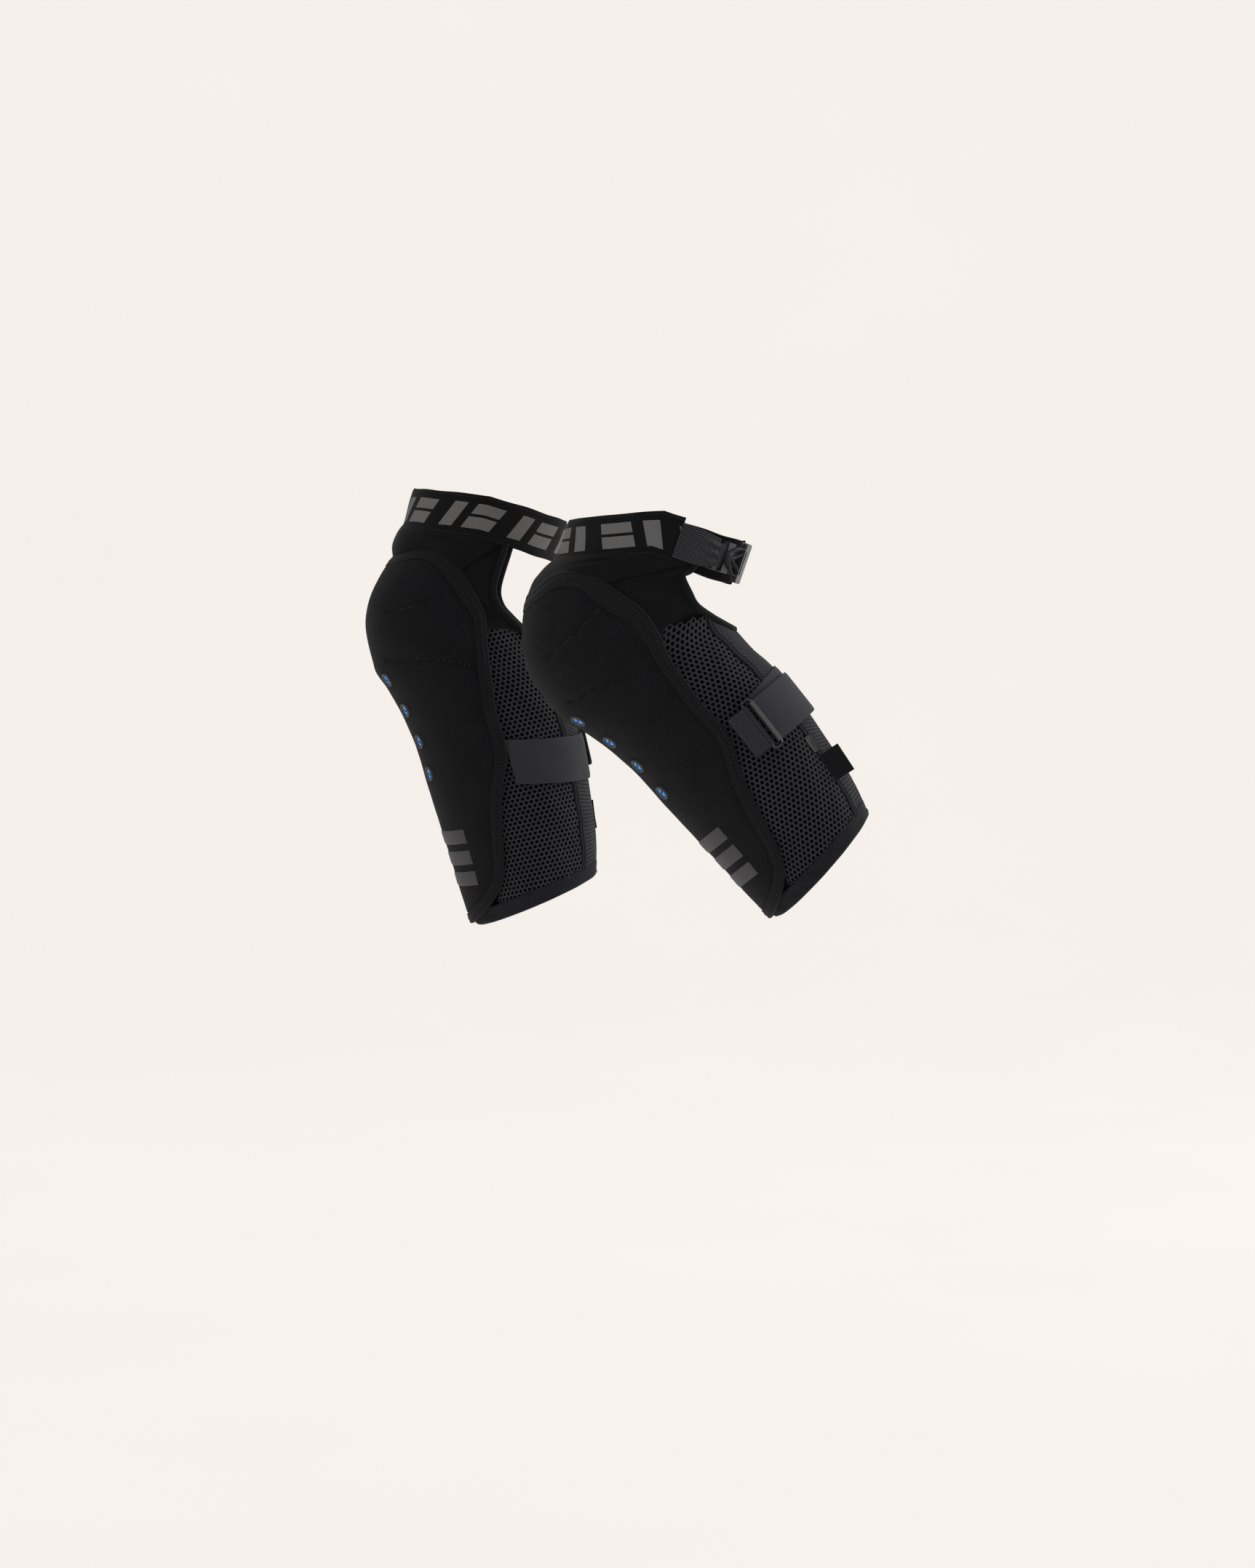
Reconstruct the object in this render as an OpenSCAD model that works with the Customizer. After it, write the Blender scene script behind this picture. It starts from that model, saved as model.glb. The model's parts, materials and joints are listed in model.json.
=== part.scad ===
// Pair of knee guards, posed as worn: soft armour in a sewn front shell, mesh sleeve, calf strap and thigh band.
// The origin is the centre of the left knee. The wearer faces -Y and the wearer's left is +X.

/* [Pose] */
// How far the left shin leans, knee ahead of the ankle
left_shin_tilt = 38.5; // [36:0.5:41]
// How far the left thigh leans back
left_thigh_lean = 19; // [15:0.5:21]
// How far the right shin leans, knee ahead of the ankle
right_shin_tilt = 13; // [8:0.5:18]
// How far the right thigh leans back
right_thigh_lean = 17; // [12:0.5:22]
// Distance between the knees, side to side
knee_spacing = 230; // [200:5:280]
// How far the right knee is ahead of the left one
knee_stride = 140; // [120:5:170]
// How much higher the right knee is
knee_step = 18; // [0:1:30]

/* [Layers] */
// Thickness of the armour
armour_t = 9; // [7:0.5:11]
// Thickness of the shell's outer cover
cover_t = 1.4; // [1:0.1:1.6]
// Thickness of the lining behind the armour
lining_t = 1; // [0.6:0.1:1.4]
// Width of the shell's stitched edge band
flange_w = 9; // [7:0.5:10]
// Thickness of the spacer mesh
mesh_t = 3.5; // [2.5:0.1:4.5]
// How deep the spacer mesh sits below the shell's edge
mesh_sink = 4.6; // [4.6:0.1:5.5]

/* [Straps] */
// Width of the calf strap
calf_strap_w = 38; // [30:1:40]
// Thickness of the calf strap
calf_strap_t = 1.6; // [1.2:0.1:1.8]
// Width of the thigh band
band_w = 36; // [32:1:38]
// Thickness of the thigh band
band_t = 1.8; // [1.4:0.1:2]
// Width of the ribbed webbing at the thigh
webbing_w = 28; // [22:1:30]
// Width of the narrow adjuster strap
adjuster_w = 19; // [15:1:20]

/* [Hardware] */
// Wire diameter of the calf ring
ring_wire_d = 2.4; // [2:0.1:2.6]
// Gap between the centres of the ring's two long bars
ring_reach = 8; // [7.6:0.1:9]
// Outer diameter of an eyelet
eyelet_d = 13; // [11:0.5:14]
// Clear opening of an eyelet
eyelet_hole_d = 8; // [6:0.5:9]
// Distance from one eyelet to the next
eyelet_pitch = 28; // [26:0.5:29]
// Height of the hook and catch plates
plate_h = 32; // [28:1:34]

/* [Hidden] */
NAMES = ["protector", "lining", "shell_cover", "shell_flange", "eyelets", "shin_print", "outer_mesh", "inner_mesh",
         "back_panel", "gussets", "opening_binding", "bottom_hem", "calf_strap", "ring_loop", "size_label",
         "woven_label", "ring", "strap_tab", "top_panel", "thigh_band", "grip_strip", "adjuster_webbing",
         "adjuster_strap", "catch_plate", "slider", "hook_plate"];

// Shin profile: distance down from the knee centre, front, widest line, half width
SHIN = [[-72, 12, -40, 45], [-62, 25, -34, 53], [-46, 40, -26, 59], [-26, 52, -19, 63], [0, 56, -16, 65],
        [20, 56, -18, 65], [40, 49, -21, 64], [60, 43, -26, 63], [90, 37, -30, 62], [120, 35, -32, 61],
        [160, 32, -33, 59], [200, 29, -32, 54], [230, 27, -30, 50], [256, 24, -28, 47]];
// Back of the calf, the same on both legs: distance down from the knee centre, distance forward
CALF = [[60, -95], [90, -99], [120, -100], [160, -98], [200, -94], [230, -87], [256, -79]];
// Back of the leg above the calf, which bulges more the further the knee is bent
LEFT_CREASE = [[-72, -150], [-46, -142], [0, -126], [20, -110], [35, -97], [48, -94]];
RIGHT_CREASE = [[-72, -135], [-46, -118], [-12, -99], [5, -91], [25, -87], [42, -90]];
// Top edge of the mesh sleeve: angle round from the front, distance down from the knee centre
LEFT_TOP = [[100, 18], [112, 19], [123, 26], [135, 29], [148, 37], [160, 47], [172, 55], [180, 57]];
RIGHT_TOP = [[100, 3], [122, 4], [130, 8], [143, 21], [160, 37], [172, 43], [180, 45]];
// Rear edge of the gussets: distance down from the knee centre, distance forward
LEFT_GUSSET = [[-64, -24], [-50, -46], [-38, -56], [-25, -62], [0, -74], [16, -78]];
RIGHT_GUSSET = [[-64, -24], [-50, -46], [-38, -55], [-25, -58], [1, -60]];
// Upper ends of the binding round the opening behind the knee, in the same way
LEFT_ENDS = [[-20, -70], [-5, -79], [8, -83]];
RIGHT_ENDS = [[-22, -63.5], [-12, -64], [-2, -66]];
// Each guard: shin tilt, thigh lean, slant of the calf strap, height of the band at the front of the knee,
// front of the thigh, back of the leg, top edge of the sleeve, gusset edge, binding ends, binding's first angle
LEFT = [left_shin_tilt, left_thigh_lean, -6, 72, 53, concat(LEFT_CREASE, CALF), LEFT_TOP, LEFT_GUSSET,
        LEFT_ENDS, 142];
RIGHT = [right_shin_tilt, right_thigh_lean, 12, 90, 48, concat(RIGHT_CREASE, CALF), RIGHT_TOP, RIGHT_GUSSET,
         RIGHT_ENDS, 136];
// Rear edge of the shell seen from the side: distance down from the knee centre, distance forward
EDGE = [[-68, -12], [-62, -22], [-50, -32], [-38, -38], [-11, -46], [0, -48], [30, -43], [75, -38], [105, -40],
        [122, -37], [146, -27], [175, -20], [213, -12], [230, 0], [240, 13], [246, 22]];
thigh_back = -80;
thigh_half_w = 62;

layer_gap = 0.4;
edge_gap = 2; // between the edge band and the layers it frames
corner_cut = 13; // degrees
cover_top = -0.3;
armour_top = cover_top - cover_t - layer_gap;
lining_top = armour_top - armour_t - layer_gap;
flange_bottom = -4.2;
flange_top = 0.6;
round_r = 62;
shell_top = -69;
shell_bottom = 248;
hem_h = 13;
hinge_clear = 71.5;
back_seam = 145;
strap_s = 122;
loop_angle = 114;
ring_lift = 2.2;
ring_h = calf_strap_w + 5;
fit_gap = 0.3;
eyelet_angle = 24;
strap_from = 97;
strap_to = 235.5;
band_s = 101;
webbing_from = 106;
webbing_to = 136;
plate_angle = 166;
plate_w = 15;
plate_t = 2.2;
catch_lift = band_t + 0.7;
hook_lift = catch_lift + plate_t + 0.5;
slider_angle = 146;
fabric = [0.10, 0.10, 0.12];
mesh_grey = [0.20, 0.20, 0.22];
strap_grey = [0.15, 0.15, 0.17];
hard_black = [0.08, 0.08, 0.09];

function front(s) = lookup(s, [for (p = SHIN) [p[0], p[1]]]);
function middle(s) = lookup(s, [for (p = SHIN) [p[0], p[2]]]);
function half_w(s) = lookup(s, [for (p = SHIN) [p[0], p[3]]]);
// Depth of the shin's section in front of its widest line or, where cos(a) is negative, behind it
function depth(g, s, ca) = ca >= 0 ? front(s) - middle(s) : middle(s) - lookup(s, g[5]);
// A point on the shin's surface: s down from the knee, a round from the front (+ is the outer side), o outwards
function shin_at(g, s, a, o) = [(half_w(s) + o) * sin(a), -middle(s) - (depth(g, s, cos(a)) + o) * cos(a), -s];
// The angle at which the shin's surface is r forward of the knee centre
function angle_at(g, s, r) = let (d = r - middle(s)) acos(max(-1, min(1, d / depth(g, s, d))));
function edge_a(g, s) = angle_at(g, s, lookup(s, EDGE));
// A point on the thigh's surface: t up from the knee
function thigh_at(g, t, a, o) = let (f = g[4], c = (f + thigh_back) / 2, d = (f - thigh_back) / 2)
    [(thigh_half_w + o) * sin(a), -c - (d + o) * cos(a), t];
function thigh_forward(g, a) = (g[4] + thigh_back) / 2 + (g[4] - thigh_back) / 2 * cos(a);
// The middle of the band, which dips towards the front of the knee
function band_at(g, a) = band_s - (band_s - g[3]) * max(0, cos(a));
function ease(x) = let (k = max(0, min(1, x))) k * k * (3 - 2 * k);

// The shell's outline from the top of the cup round one side to the foot of the shin
function half_edge(g) = concat([for (a = [0:12:48]) [shell_top, a]], [for (p = EDGE) [p[0], edge_a(g, p[0])]],
                               [[shell_bottom, 0]]);
function shell_loop(g) = let (half = half_edge(g), last = len(half) - 1)
    concat(half, [for (i = [last - 1:-1:1]) [half[i][0], -half[i][1]]]);
// Arc length of one degree round the leg
arc = round_r * PI / 180;
// Moves each point of an outline on the surface sideways by w: to the left of the way it runs
function aside(pts, i, w, closed) = let (
    n = len(pts),
    before = closed ? pts[(i + n - 1) % n] : pts[max(0, i - 1)],
    after = closed ? pts[(i + 1) % n] : pts[min(n - 1, i + 1)],
    ds = after[0] - before[0],
    du = (after[1] - before[1]) * arc,
    len_su = norm([ds, du]))
    [pts[i][0] + w * du / len_su, pts[i][1] - w * ds / len_su / arc];
// The inner side of the edge band down one side, from the corner of the cup's top to the foot
function inner_side(g) = let (loop = shell_loop(g), last = len(half_edge(g)) - 1)
    [for (i = [6:last]) aside(loop, i, flange_w + edge_gap, true)];
// The same as an angle, with the upper corner cut off a little as the edge band rounds it
function inner_a(g, s) = lookup(s, inner_side(g)) - corner_cut * ease((-43 - s) / 13);
// How far below the shell's edge the sleeve's surface lies
function sleeve_o(g, s, a) = -mesh_sink * (1 - ease((abs(a) - edge_a(g, s)) / 45));
function sleeve_top(g, a) = lookup(abs(a), g[6]);
function sleeve_bottom(a) = 243 + 4 * sin(abs(a)) - 9 * (1 - cos(a)) - hem_h + 6;

// Joins a grid of outer points and a grid of inner points into one closed wall, nu by nv cells
module wall(outer, inner, nu, nv) {
    w = nv + 1;
    n = (nu + 1) * w;
    top = [for (i = [0:nu - 1]) for (j = [0:nv - 1]) let (k = i * w + j)
        each [[k, k + 1, k + w], [k + 1, k + w + 1, k + w]]];
    low = [for (f = top) [f[0] + n, f[2] + n, f[1] + n]];
    rim = concat([for (j = [0:nv]) j], [for (i = [1:nu]) i * w + nv], [for (j = [nv - 1:-1:0]) nu * w + j],
                 [for (i = [nu - 1:-1:1]) i * w]);
    m = len(rim);
    side = [for (k = [0:m - 1]) let (p = rim[k], q = rim[(k + 1) % m]) each [[q, p, p + n], [q, p + n, q + n]]];
    polyhedron(concat(outer, inner), concat(top, low, side));
}

// Joins four rows of points that run along a strip: outer left, outer right, inner right, inner left
module strip(rows, closed) {
    n = len(rows[0]);
    runs = closed ? n : n - 1;
    skin = [for (i = [0:runs - 1]) for (r = [0:3]) let (k = (i + 1) % n, q = (r + 1) % 4)
        each [[r * n + i, q * n + i, r * n + k], [q * n + i, q * n + k, r * n + k]]];
    ends = closed ? [] : [[0, 3 * n, 2 * n], [0, 2 * n, n],
                          [n - 1, 2 * n - 1, 3 * n - 1], [n - 1, 3 * n - 1, 4 * n - 1]];
    polyhedron([for (row = rows) each row], concat(skin, ends));
}

// A sheet on the shin: at(u, v) gives [s, a], and lift(s, a) gives the height of its outer face
module shin_sheet(g, at, lift, t, nu, nv) {
    grid = [for (i = [0:nu]) for (j = [0:nv]) at(i / nu, j / nv)];
    wall([for (p = grid) shin_at(g, p[0], p[1], lift(p[0], p[1]))],
         [for (p = grid) shin_at(g, p[0], p[1], lift(p[0], p[1]) - t)], nu, nv);
}

// A sheet on the thigh: at(u, v) gives [t, a]
module thigh_sheet(g, at, top, t, nu, nv) {
    grid = [for (i = [0:nu]) for (j = [0:nv]) at(i / nu, j / nv)];
    wall([for (p = grid) thigh_at(g, p[0], p[1], top)], [for (p = grid) thigh_at(g, p[0], p[1], top - t)], nu, nv);
}

// A ribbon of width w that follows a line of [s, a] points on the shin
module shin_ribbon(g, pts, w, top, t, closed) {
    left = [for (i = [0:len(pts) - 1]) aside(pts, i, w / 2, closed)];
    right = [for (i = [0:len(pts) - 1]) aside(pts, i, -w / 2, closed)];
    strip([[for (p = left) shin_at(g, p[0], p[1], top)],
           [for (p = right) shin_at(g, p[0], p[1], top)],
           [for (p = right) shin_at(g, p[0], p[1], top - t)],
           [for (p = left) shin_at(g, p[0], p[1], top - t)]], closed);
}

// Stands a flat shape on the shin's surface: +X outwards, +Y backwards round the outer side, +Z up
module on_skin(g, s, a, o) {
    slope = atan2(depth(g, s, cos(a)) * sin(a), -half_w(s) * cos(a));
    translate(shin_at(g, s, a, o)) rotate([0, 0, 90 - slope]) children();
}

// The same on the thigh
module on_thigh_skin(g, t, a, o) {
    slope = atan2((g[4] - thigh_back) / 2 * sin(a), -thigh_half_w * cos(a));
    translate(thigh_at(g, t, a, o)) rotate([0, 0, 90 - slope]) children();
}

// A rounded plate standing upright, its face outwards
module plate(w, h, t, r) {
    rotate([90, 0, 90]) linear_extrude(t) {
        translate([r - w / 2, -h / 2]) square([w - 2 * r, h]);
        translate([-w / 2, r - h / 2]) square([w, h - 2 * r]);
        for (x = [r - w / 2, w / 2 - r]) for (y = [r - h / 2, h / 2 - r]) translate([x, y]) circle(r, $fn = 24);
    }
}

// The curve of a strap seen from above, between two angles, as one closed outline of thickness t
function arc_outline(g, s, a0, a1, n, top, t) = concat(
    [for (i = [0:n]) let (p = shin_at(g, s, a0 + (a1 - a0) * i / n, top)) [p[0], p[1]]],
    [for (i = [n:-1:0]) let (p = shin_at(g, s, a0 + (a1 - a0) * i / n, top - t)) [p[0], p[1]]]);

module protector(g) {
    color([0.1, 0.5, 0.9])
        shin_sheet(g, function(u, v) let (s = -58 + 294 * u) [s, (1 - 2 * v) * inner_a(g, s)],
                   function(s, a) armour_top, armour_t, 20, 14);
}

module lining(g) {
    color(fabric)
        shin_sheet(g, function(u, v) let (s = -58 + 294 * u) [s, (1 - 2 * v) * inner_a(g, s)],
                   function(s, a) lining_top, lining_t, 20, 14);
}

module shell_cover(g) {
    color(fabric)
        shin_sheet(g, function(u, v) let (s = -58 + 294 * u) [s, (1 - 2 * v) * inner_a(g, s)],
                   function(s, a) cover_top, cover_t, 20, 14);
}

module shell_flange(g) {
    loop = shell_loop(g);
    mid = [for (i = [0:len(loop) - 1]) aside(loop, i, flange_w / 2, true)];
    color(fabric) shin_ribbon(g, mid, flange_w, flange_top, flange_top - flange_bottom, true);
}

module eyelets(g) {
    color(hard_black)
        for (row = [-1, 1]) for (i = [0:3])
            let (s = 33 + i * eyelet_pitch, lean = atan2(front(s - 8) - front(s + 8), 16))
                translate(shin_at(g, s, row * eyelet_angle, 0.1))
                rotate([90 + lean, 0, row * eyelet_angle])
                difference() {
                    cylinder(d = eyelet_d, h = 1.1, $fn = 48);
                    translate([0, 0, -1]) cylinder(d = eyelet_hole_d, h = 4, $fn = 48);
                }
}

module shin_print(g) {
    color([0.28, 0.28, 0.29])
        for (i = [0:2])
            shin_sheet(g, function(u, v) [164 + 18 * i + 12 * u + 4 * v, 46 - 92 * v],
                       function(s, a) 0.5, 0.6, 1, 14);
}

// One side of the mesh sleeve, from under the shell's edge to the seam beside the calf
module side_mesh(g, hand) {
    color(mesh_grey)
        shin_sheet(g, function(u, v) let (
                       a1 = back_seam - 0.6,
                       start = sleeve_top(g, 110),
                       s = start + (sleeve_bottom(90) - start) * u,
                       a0 = edge_a(g, min(s, 230)) + 0.8,
                       a = hand * (a0 + (a1 - a0) * (hand > 0 ? 1 - v : v)),
                       low = sleeve_bottom(a),
                       high = sleeve_top(g, a))
                       [high + (low - high) * u, a],
                   function(s, a) sleeve_o(g, min(s, 230), a), mesh_t, 20, 7);
}

module outer_mesh(g) {
    side_mesh(g, 1);
}

module inner_mesh(g) {
    side_mesh(g, -1);
}

module back_panel(g) {
    color(mesh_grey)
        shin_sheet(g, function(u, v) let (a = 360 - back_seam + (2 * back_seam - 360) * v,
                                       b = abs(a - 180),
                                       high = sleeve_top(g, 180 - b),
                                       low = sleeve_bottom(180 - b))
                       [high + (low - high) * u, a],
                   function(s, a) 0, 2.6, 16, 8);
}

module gussets(g) {
    foot = g[7][len(g[7]) - 1][0];
    color(fabric)
        for (hand = [1, -1])
            shin_sheet(g, function(u, v) let (s = -63 + (foot + 63) * u,
                                              a0 = edge_a(g, s) + 0.8,
                                              a1 = angle_at(g, s, lookup(s, g[7])))
                           [s, hand * (a0 + (a1 - a0) * (hand > 0 ? 1 - v : v))],
                       function(s, a) -2, 1.6, 8, 3);
}

module opening_binding(g) {
    half = concat([for (p = g[8]) [p[0], angle_at(g, p[0], p[1])]],
                  [for (a = [g[9]:6:174]) [sleeve_top(g, a - 1) - 3.8, a]], [[sleeve_top(g, 180) - 3.8, 180]]);
    n = len(half);
    color(fabric)
        shin_ribbon(g, concat(half, [for (i = [n - 2:-1:0]) [half[i][0], 360 - half[i][1]]]), 5, 0.3, 3, false);
}

module bottom_hem(g) {
    steps = 48;
    ring_row = function(o, drop) [for (i = [0:steps - 1]) let (a = 360 * i / steps)
        shin_at(g, sleeve_bottom(a <= 180 ? a : 360 - a) + drop, a, o - (a < 60 || a > 300 ? 5 : 0.5))];
    color(mesh_grey)
        strip([ring_row(0, hem_h), ring_row(0, 1), ring_row(-4, 1), ring_row(-4, hem_h)], true);
}

module calf_strap(g) {
    color(strap_grey)
        shin_sheet(g, function(u, v) let (a = strap_to - (strap_to - strap_from) * v,
                                       slant = g[2] * sin(180 * (a - strap_from) / (strap_to - strap_from)))
                       [strap_s - 4 + 4 * v + slant + calf_strap_w * (u - 0.5), -a],
                   function(s, a) sleeve_o(g, s, a < -180 ? a + 360 : a) + layer_gap + calf_strap_t,
                   calf_strap_t, 3, 24);
}

// The centre line of the ring's bar that sits in the webbing loop
module at_ring(g) {
    on_skin(g, strap_s, loop_angle, ring_lift) children();
}

module ring_loop(g) {
    r_in = ring_wire_d / 2 + fit_gap;
    r_out = r_in + 1.2;
    color(strap_grey) at_ring(g) translate([0, 0, -calf_strap_w / 2 + 1]) linear_extrude(calf_strap_w - 2)
        difference() {
            circle(r_out, $fn = 48);
            circle(r_in, $fn = 48);
        }
    color(strap_grey) translate([0, 0, -strap_s - calf_strap_w / 2 + 1]) linear_extrude(calf_strap_w - 2)
        polygon(arc_outline(g, strap_s, 98.5, loop_angle - 1.6, 5, ring_lift - r_in + 0.5, 1.6));
}

module ring(g) {
    r = ring_wire_d / 2;
    bend = 2.4;
    long = ring_h - 2 * bend;
    color(hard_black) at_ring(g) {
        for (y = [0, ring_reach]) translate([0, y, -long / 2]) cylinder(r = r, h = long, $fn = 32);
        for (e = [-1, 1]) {
            translate([0, bend, e * ring_h / 2]) rotate([-90, 0, 0])
                cylinder(r = r, h = ring_reach - 2 * bend, $fn = 32);
            for (y = [0, 1])
                translate([0, y == 0 ? bend : ring_reach - bend, e * long / 2])
                    rotate([0, -90, 0]) rotate([0, 0, e > 0 ? (y == 0 ? -90 : 0) : (y == 0 ? 180 : 90)])
                        rotate_extrude(angle = 90, $fn = 32) translate([bend, 0]) circle(r, $fn = 32);
        }
    }
}

module strap_tab(g) {
    r_in = ring_wire_d / 2 + fit_gap;
    r_out = r_in + calf_strap_t;
    color(strap_grey) {
        at_ring(g) translate([0, ring_reach, -calf_strap_w / 2]) linear_extrude(calf_strap_w) difference() {
            circle(r_out, $fn = 48);
            circle(r_in, $fn = 48);
            translate([-r_out, 0]) square([2 * r_out, r_out]);
        }
        translate([0, 0, -strap_s - calf_strap_w / 2]) linear_extrude(calf_strap_w)
            polygon(arc_outline(g, strap_s, loop_angle + 7.2, 172, 14, ring_lift + r_out, calf_strap_t));
    }
}

module size_label(g) {
    color([0.05, 0.05, 0.05])
        on_skin(g, 159, back_seam - 1, 0.4) translate([0, -5, -7]) cube([0.8, 10, 14]);
}

module woven_label(g) {
    color([0.05, 0.05, 0.05])
        on_skin(g, 182, back_seam, 0.8) rotate([0, 0, 35]) translate([0.4, -0.5, -12]) cube([15, 1, 24]);
}

module top_panel(g) {
    color(fabric)
        thigh_sheet(g, function(u, v) let (a = 78 - 156 * v,
                                           r = thigh_forward(g, a) - 3,
                                           low = sqrt(hinge_clear * hinge_clear - r * r) + 1,
                                           high = max(low + 5, band_at(g, a) - band_w / 2 + 7))
                           [high + (low - high) * u, a],
                    -0.5, 1.5, 3, 20);
}

module thigh_band(g) {
    color(fabric)
        thigh_sheet(g, function(u, v) let (a = 105 - 293 * v,
                                           m = band_at(g, a))
                           [m + band_w * (0.5 - u), a],
                    band_t, band_t, 2, 48);
}

module grip_strip(g) {
    color([0.25, 0.25, 0.26])
        thigh_sheet(g, function(u, v) let (a = 95 - 190 * v)
                           [band_at(g, a) + band_w / 2 - 3 - 9 * u, a],
                    -0.3, 1, 1, 26);
}

module adjuster_webbing(g) {
    color(strap_grey)
        thigh_sheet(g, function(u, v) [band_s + webbing_w * (0.5 - u),
                                       webbing_to - (webbing_to - webbing_from) * v],
                    2, 1.9, 1, 6);
}

module adjuster_strap(g) {
    color(strap_grey)
        thigh_sheet(g, function(u, v) [band_s + adjuster_w * (0.5 - u), 155 - (155 - webbing_to - 0.6) * v],
                    2.6, 1.4, 1, 5);
}

module catch_plate(g) {
    color(hard_black) on_thigh_skin(g, band_s, plate_angle, catch_lift) difference() {
        plate(plate_w, plate_h, plate_t, 2.5);
        translate([-1, -2.2, -adjuster_w / 2]) cube([4, 4.4, adjuster_w]);
    }
}

module slider(g) {
    color(hard_black) on_thigh_skin(g, band_s, slider_angle, 0) translate([-0.6, -4.5, 0]) difference() {
        translate([0, 0, -adjuster_w / 2 - 2.5]) cube([5, 9, adjuster_w + 5]);
        translate([0.8, -1, -adjuster_w / 2 - 0.5]) cube([3.4, 11, adjuster_w + 1]);
    }
}

module hook_plate(g) {
    color(hard_black) on_thigh_skin(g, band_s, plate_angle, hook_lift) difference() {
        plate(plate_w, plate_h, plate_t, 2.5);
        translate([-1, -5, -adjuster_w / 2]) cube([4, 3, adjuster_w]);
    }
}

// Places one guard's shin pieces or thigh pieces, the right guard as the left one's mirror image
module placed(side, turn) {
    if (side == "left") rotate([turn, 0, 0]) children();
    else translate([-knee_spacing, -knee_stride, knee_step]) mirror([1, 0, 0]) rotate([turn, 0, 0]) children();
}

module shin_piece(side, g, name) {
    placed(side, g[0]) {
        if (name == "protector") protector(g);
        if (name == "lining") lining(g);
        if (name == "shell_cover") shell_cover(g);
        if (name == "shell_flange") shell_flange(g);
        if (name == "eyelets") eyelets(g);
        if (name == "shin_print") shin_print(g);
        if (name == "outer_mesh") outer_mesh(g);
        if (name == "inner_mesh") inner_mesh(g);
        if (name == "back_panel") back_panel(g);
        if (name == "gussets") gussets(g);
        if (name == "opening_binding") opening_binding(g);
        if (name == "bottom_hem") bottom_hem(g);
        if (name == "calf_strap") calf_strap(g);
        if (name == "ring_loop") ring_loop(g);
        if (name == "size_label") size_label(g);
        if (name == "woven_label") woven_label(g);
        if (name == "ring") ring(g);
        if (name == "strap_tab") strap_tab(g);
    }
}

module thigh_piece(side, g, name) {
    placed(side, -g[1]) {
        if (name == "top_panel") top_panel(g);
        if (name == "thigh_band") thigh_band(g);
        if (name == "grip_strip") grip_strip(g);
        if (name == "adjuster_webbing") adjuster_webbing(g);
        if (name == "adjuster_strap") adjuster_strap(g);
        if (name == "catch_plate") catch_plate(g);
        if (name == "slider") slider(g);
        if (name == "hook_plate") hook_plate(g);
    }
}

// Every piece of both guards; each is drawn when its own node, or all of them, is asked for
for (side = ["left", "right"])
    for (name = NAMES)
        union() {
            shin_piece(side, side == "left" ? LEFT : RIGHT, name);
            thigh_piece(side, side == "left" ? LEFT : RIGHT, name);
        }
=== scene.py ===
"""Pair of knee guards, posed as worn.

Each has an armoured front shell, a mesh sleeve, a calf strap with a wire ring and a hooked thigh band.
"""

import json
import logging
import math
from collections.abc import Callable, Sequence
from dataclasses import dataclass, field
from enum import Enum

import bmesh
import bpy
import numpy as np
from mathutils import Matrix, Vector
from mathutils.kdtree import KDTree

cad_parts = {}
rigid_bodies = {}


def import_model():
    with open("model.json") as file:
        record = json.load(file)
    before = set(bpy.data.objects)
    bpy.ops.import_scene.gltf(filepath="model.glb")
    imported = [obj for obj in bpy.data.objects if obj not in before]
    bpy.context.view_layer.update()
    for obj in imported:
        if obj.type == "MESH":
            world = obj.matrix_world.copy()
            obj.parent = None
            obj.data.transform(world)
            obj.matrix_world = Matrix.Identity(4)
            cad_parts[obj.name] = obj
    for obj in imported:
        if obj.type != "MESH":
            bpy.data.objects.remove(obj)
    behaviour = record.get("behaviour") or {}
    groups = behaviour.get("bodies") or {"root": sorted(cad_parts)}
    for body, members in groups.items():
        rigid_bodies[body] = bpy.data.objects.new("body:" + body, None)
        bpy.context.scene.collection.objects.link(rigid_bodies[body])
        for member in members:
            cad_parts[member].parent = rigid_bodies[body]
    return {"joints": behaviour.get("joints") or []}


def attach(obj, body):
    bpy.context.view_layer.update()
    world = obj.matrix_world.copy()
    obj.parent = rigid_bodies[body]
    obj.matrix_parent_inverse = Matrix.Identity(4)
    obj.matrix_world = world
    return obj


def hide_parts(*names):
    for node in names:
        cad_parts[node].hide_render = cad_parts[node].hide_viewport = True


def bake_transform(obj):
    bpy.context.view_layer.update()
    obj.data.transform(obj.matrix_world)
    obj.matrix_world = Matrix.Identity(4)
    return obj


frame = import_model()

log = logging.getLogger("knee_guards")
Points = np.ndarray
Surface = Callable[[Points, Points, Points], Points]
Piece = bpy.types.Object
Socket = bpy.types.NodeSocket
MM = 0.001
ROUND_R = 62.0
ARC = math.radians(ROUND_R)  # millimetres round the leg for one degree


# ---------------------------------------------------------------- shapes and numbers


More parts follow.
